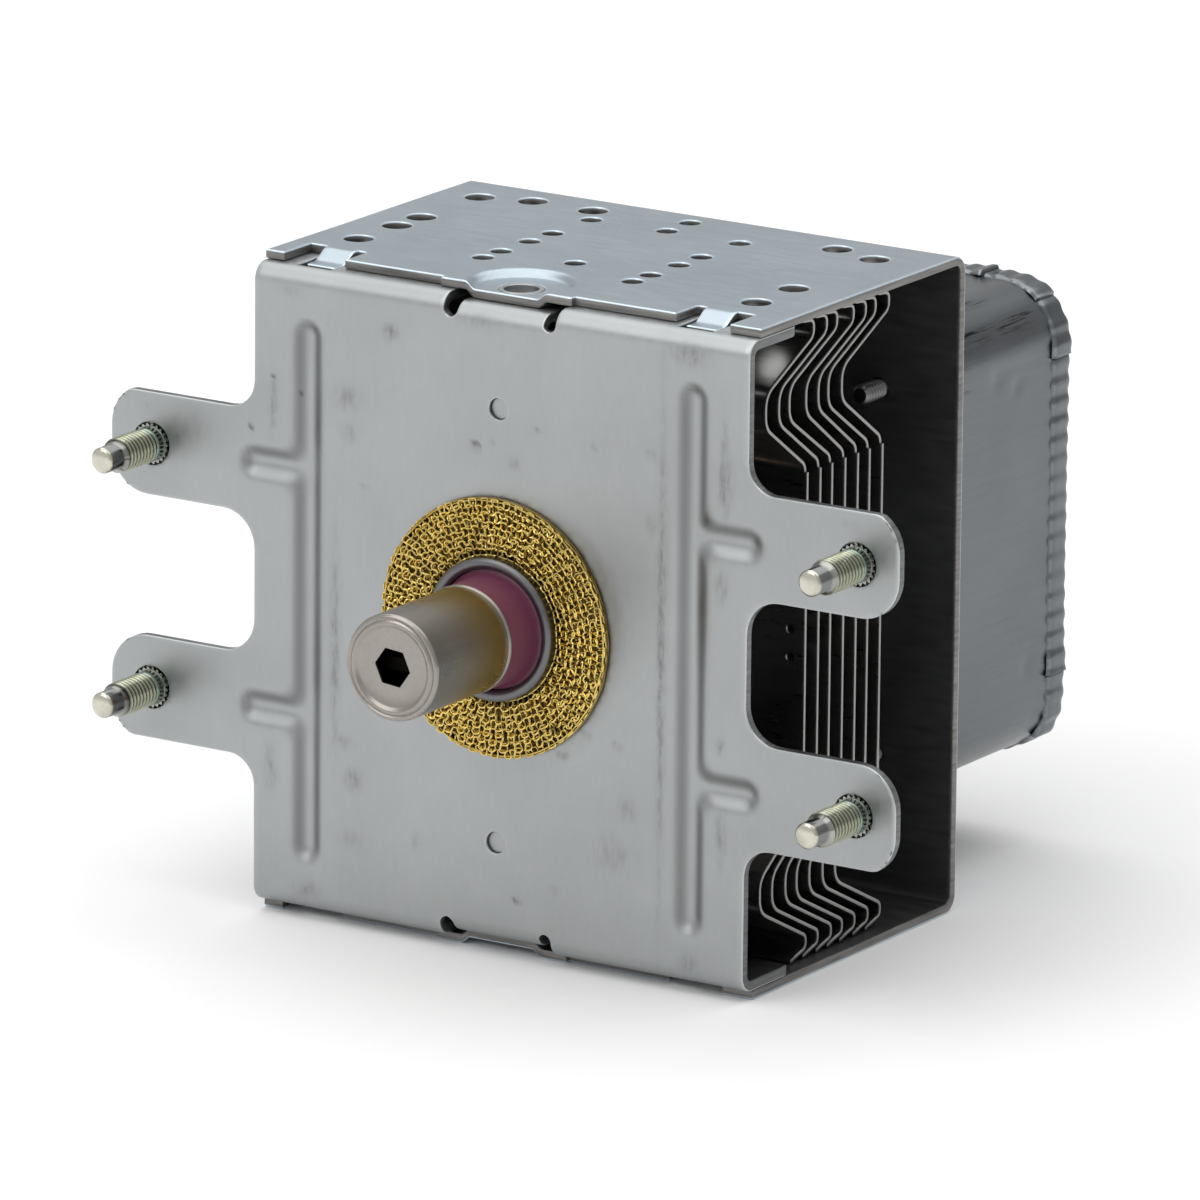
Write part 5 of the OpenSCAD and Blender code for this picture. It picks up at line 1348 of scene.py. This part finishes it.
class MAGNETRON_OT_filter_parts(bpy.types.Operator):
    """Finishes the chokes, their cores, the capacitor and its terminals"""

    bl_idname = "magnetron.filter_parts"
    bl_label = "Filter parts"

    def execute(self, context):
        dress(["choke_coil_1", "choke_coil_2"], metal("enamelled_copper", (0.46, 0.17, 0.08), 0.25, (1, 1, 1), 700))
        dress(["choke_core_1", "choke_core_2"], dull("choke_ferrite", (0.05, 0.05, 0.052), 0.6, 0.25, 700, 0.2))
        dress(["capacitor_body"], dull("capacitor_resin", (0.07, 0.11, 0.25), 0.38, 0.12, 300, 0.12))
        tin = metal("tinned_sheet", (0.46, 0.47, 0.47), 0.34, (1, 1, 0.2), 1300, 0.08, 0.08, 0.1)
        dress(["capacitor_plate", "tab_terminal_1", "tab_terminal_2"], tin)
        dress(["capacitor_rivets"], metal("rivet_aluminium", (0.48, 0.48, 0.48), 0.35, (1, 1, 1), 1200, 0.1, 0.1, 0.1))
        return {"FINISHED"}


SENSOR, PHOTO_WIDTH, LAMPS_AIM, FLOOR_HALF = 36.0, 1200, (0.0, 0.03, 0.0), 6


def stood(place, right, up, back):
    """Where a lamp or a camera stands, from its place and its own three directions."""
    return Matrix.Translation(place) @ Matrix(np.stack([right, up, back], -1).tolist()).to_4x4()


class MAGNETRON_OT_stage(bpy.types.Operator):
    """Makes the pale floor, the soft lamps and the camera"""

    bl_idname = "magnetron.stage"
    bl_label = "Stage"

    def execute(self, context):
        scene = context.scene
        scene.view_settings.view_transform = "Standard"
        floor_z = (YOKE_LOW[2] - 0.1) * MM
        mesh = bpy.data.meshes.new("floor")
        corners = [(x * FLOOR_HALF, y * FLOOR_HALF, floor_z) for x, y in ((-1, -1), (1, -1), (1, 1), (-1, 1))]
        mesh.from_pydata(corners, [], [(0, 1, 2, 3)])
        floor = bpy.data.objects.new("floor", mesh)
        scene.collection.objects.link(floor)
        material, tree, shader, coords = blank("pale_floor", roughness=0.9)
        speck = noise(tree, coords, 3, 3.0)
        tree.links.new(blend_colours(tree, speck, (0.93, 0.93, 0.93), (0.96, 0.96, 0.96)), shader.inputs["Base Color"])
        mesh.materials.append(material)
        self.light(scene)
        self.view(scene)
        return {"FINISHED"}

    def light(self, scene):
        """A pale world, a little dimmer behind on the right, and two large soft lamps above and in front."""
        world = bpy.data.worlds.new("studio")
        scene.world = world
        world.use_nodes = True
        tree = world.node_tree
        way = node(tree, "ShaderNodeTexCoord").outputs["Generated"]
        lit = node(tree, "ShaderNodeVectorMath", {0: way, 1: (-0.62, -0.42, 0.66)}, operation="DOT_PRODUCT")
        level = spread(tree, lit.outputs["Value"], -0.6, 0.7, 0.44, 0.7)
        tree.links.new(level, tree.nodes["Background"].inputs["Strength"])
        tree.nodes["Background"].inputs["Color"].default_value = (1.0, 1.0, 1.0, 1.0)
        for name, place, size, power in (
            ("key", (-0.5, -1.15, 1.15), 1.15, 7.0),
            ("top", (-0.1, 0.3, 1.5), 2.3, 19.0),
        ):
            lamp = bpy.data.lights.new(name, "AREA")
            lamp.size = size
            lamp.energy = power
            holder = bpy.data.objects.new(name, lamp)
            back = unit(np.array(place) - LAMPS_AIM)
            right = unit(np.cross((0, 0, 1), back))
            holder.matrix_world = stood(place, right, np.cross(back, right), back)
            scene.collection.objects.link(holder)

    def view(self, scene):
        """The photograph's camera: turned about the upright axis, raised and rolled, with a long lens."""
        yaw, pitch, roll = (math.radians(v) for v in (32.747, 14.993, 0.531))
        focal, tx, ty, dist = 12877.7, -14.34, -3.761, 1789.2
        back = np.array([math.sin(yaw) * math.cos(pitch), -math.cos(yaw) * math.cos(pitch), math.sin(pitch)])
        level = np.array([math.cos(yaw), math.sin(yaw), 0.0])
        above = np.cross(back, level)
        right = math.cos(roll) * level + math.sin(roll) * above
        up = -math.sin(roll) * level + math.cos(roll) * above
        camera = bpy.data.cameras.new("camera")
        camera.sensor_width = SENSOR
        camera.lens = focal / PHOTO_WIDTH * SENSOR
        camera.clip_end = 30.0
        holder = bpy.data.objects.new("camera", camera)
        place = (dist * back - tx * right - ty * up) * MM
        holder.matrix_world = stood(place.tolist(), right, up, back)
        scene.collection.objects.link(holder)
        scene.camera = holder


class MAGNETRON_PT_panel(bpy.types.Panel):
    """Lists the pieces and their sizes"""

    bl_label = "Magnetron"
    bl_idname = "MAGNETRON_PT_panel"
    bl_space_type = "VIEW_3D"
    bl_region_type = "UI"
    bl_category = "Magnetron"

    def draw(self, context):
        scene = context.scene
        for group in GROUPS:
            sizes = getattr(scene, group)
            for name in sizes.bl_rna.properties.keys():
                if name not in ("rna_type", "name"):
                    self.layout.prop(sizes, name)
        for operator in OPERATORS:
            self.layout.operator(operator.bl_idname)


GROUPS = {
    "magnetron_sheets": SheetSizes,
    "magnetron_threads": ThreadSizes,
    "magnetron_gasket": GasketSizes,
    "magnetron_lid": LidSizes,
    "magnetron_finishes": Finishes,
}
OPERATORS = (
    MAGNETRON_OT_stage,
    MAGNETRON_OT_front_plate,
    MAGNETRON_OT_yoke,
    MAGNETRON_OT_studs,
    MAGNETRON_OT_gasket,
    MAGNETRON_OT_antenna,
    MAGNETRON_OT_tube,
    MAGNETRON_OT_fins,
    MAGNETRON_OT_filter_box,
    MAGNETRON_OT_filter_parts,
)


def register():
    """Makes the classes and the scene's groups of sizes known to Blender."""
    for made in (*GROUPS.values(), *OPERATORS, MAGNETRON_PT_panel):
        bpy.utils.register_class(made)
    for name, group in GROUPS.items():
        setattr(bpy.types.Scene, name, PointerProperty(type=group))


def unregister():
    """Takes them out again."""
    for name in GROUPS:
        delattr(bpy.types.Scene, name)
    for made in (MAGNETRON_PT_panel, *reversed(OPERATORS), *GROUPS.values()):
        bpy.utils.unregister_class(made)


def main():
    """Makes every piece in order."""
    register()
    for operator in OPERATORS:
        space, name = operator.bl_idname.split(".")
        getattr(getattr(bpy.ops, space), name)()


if __name__ == "__main__":
    main()
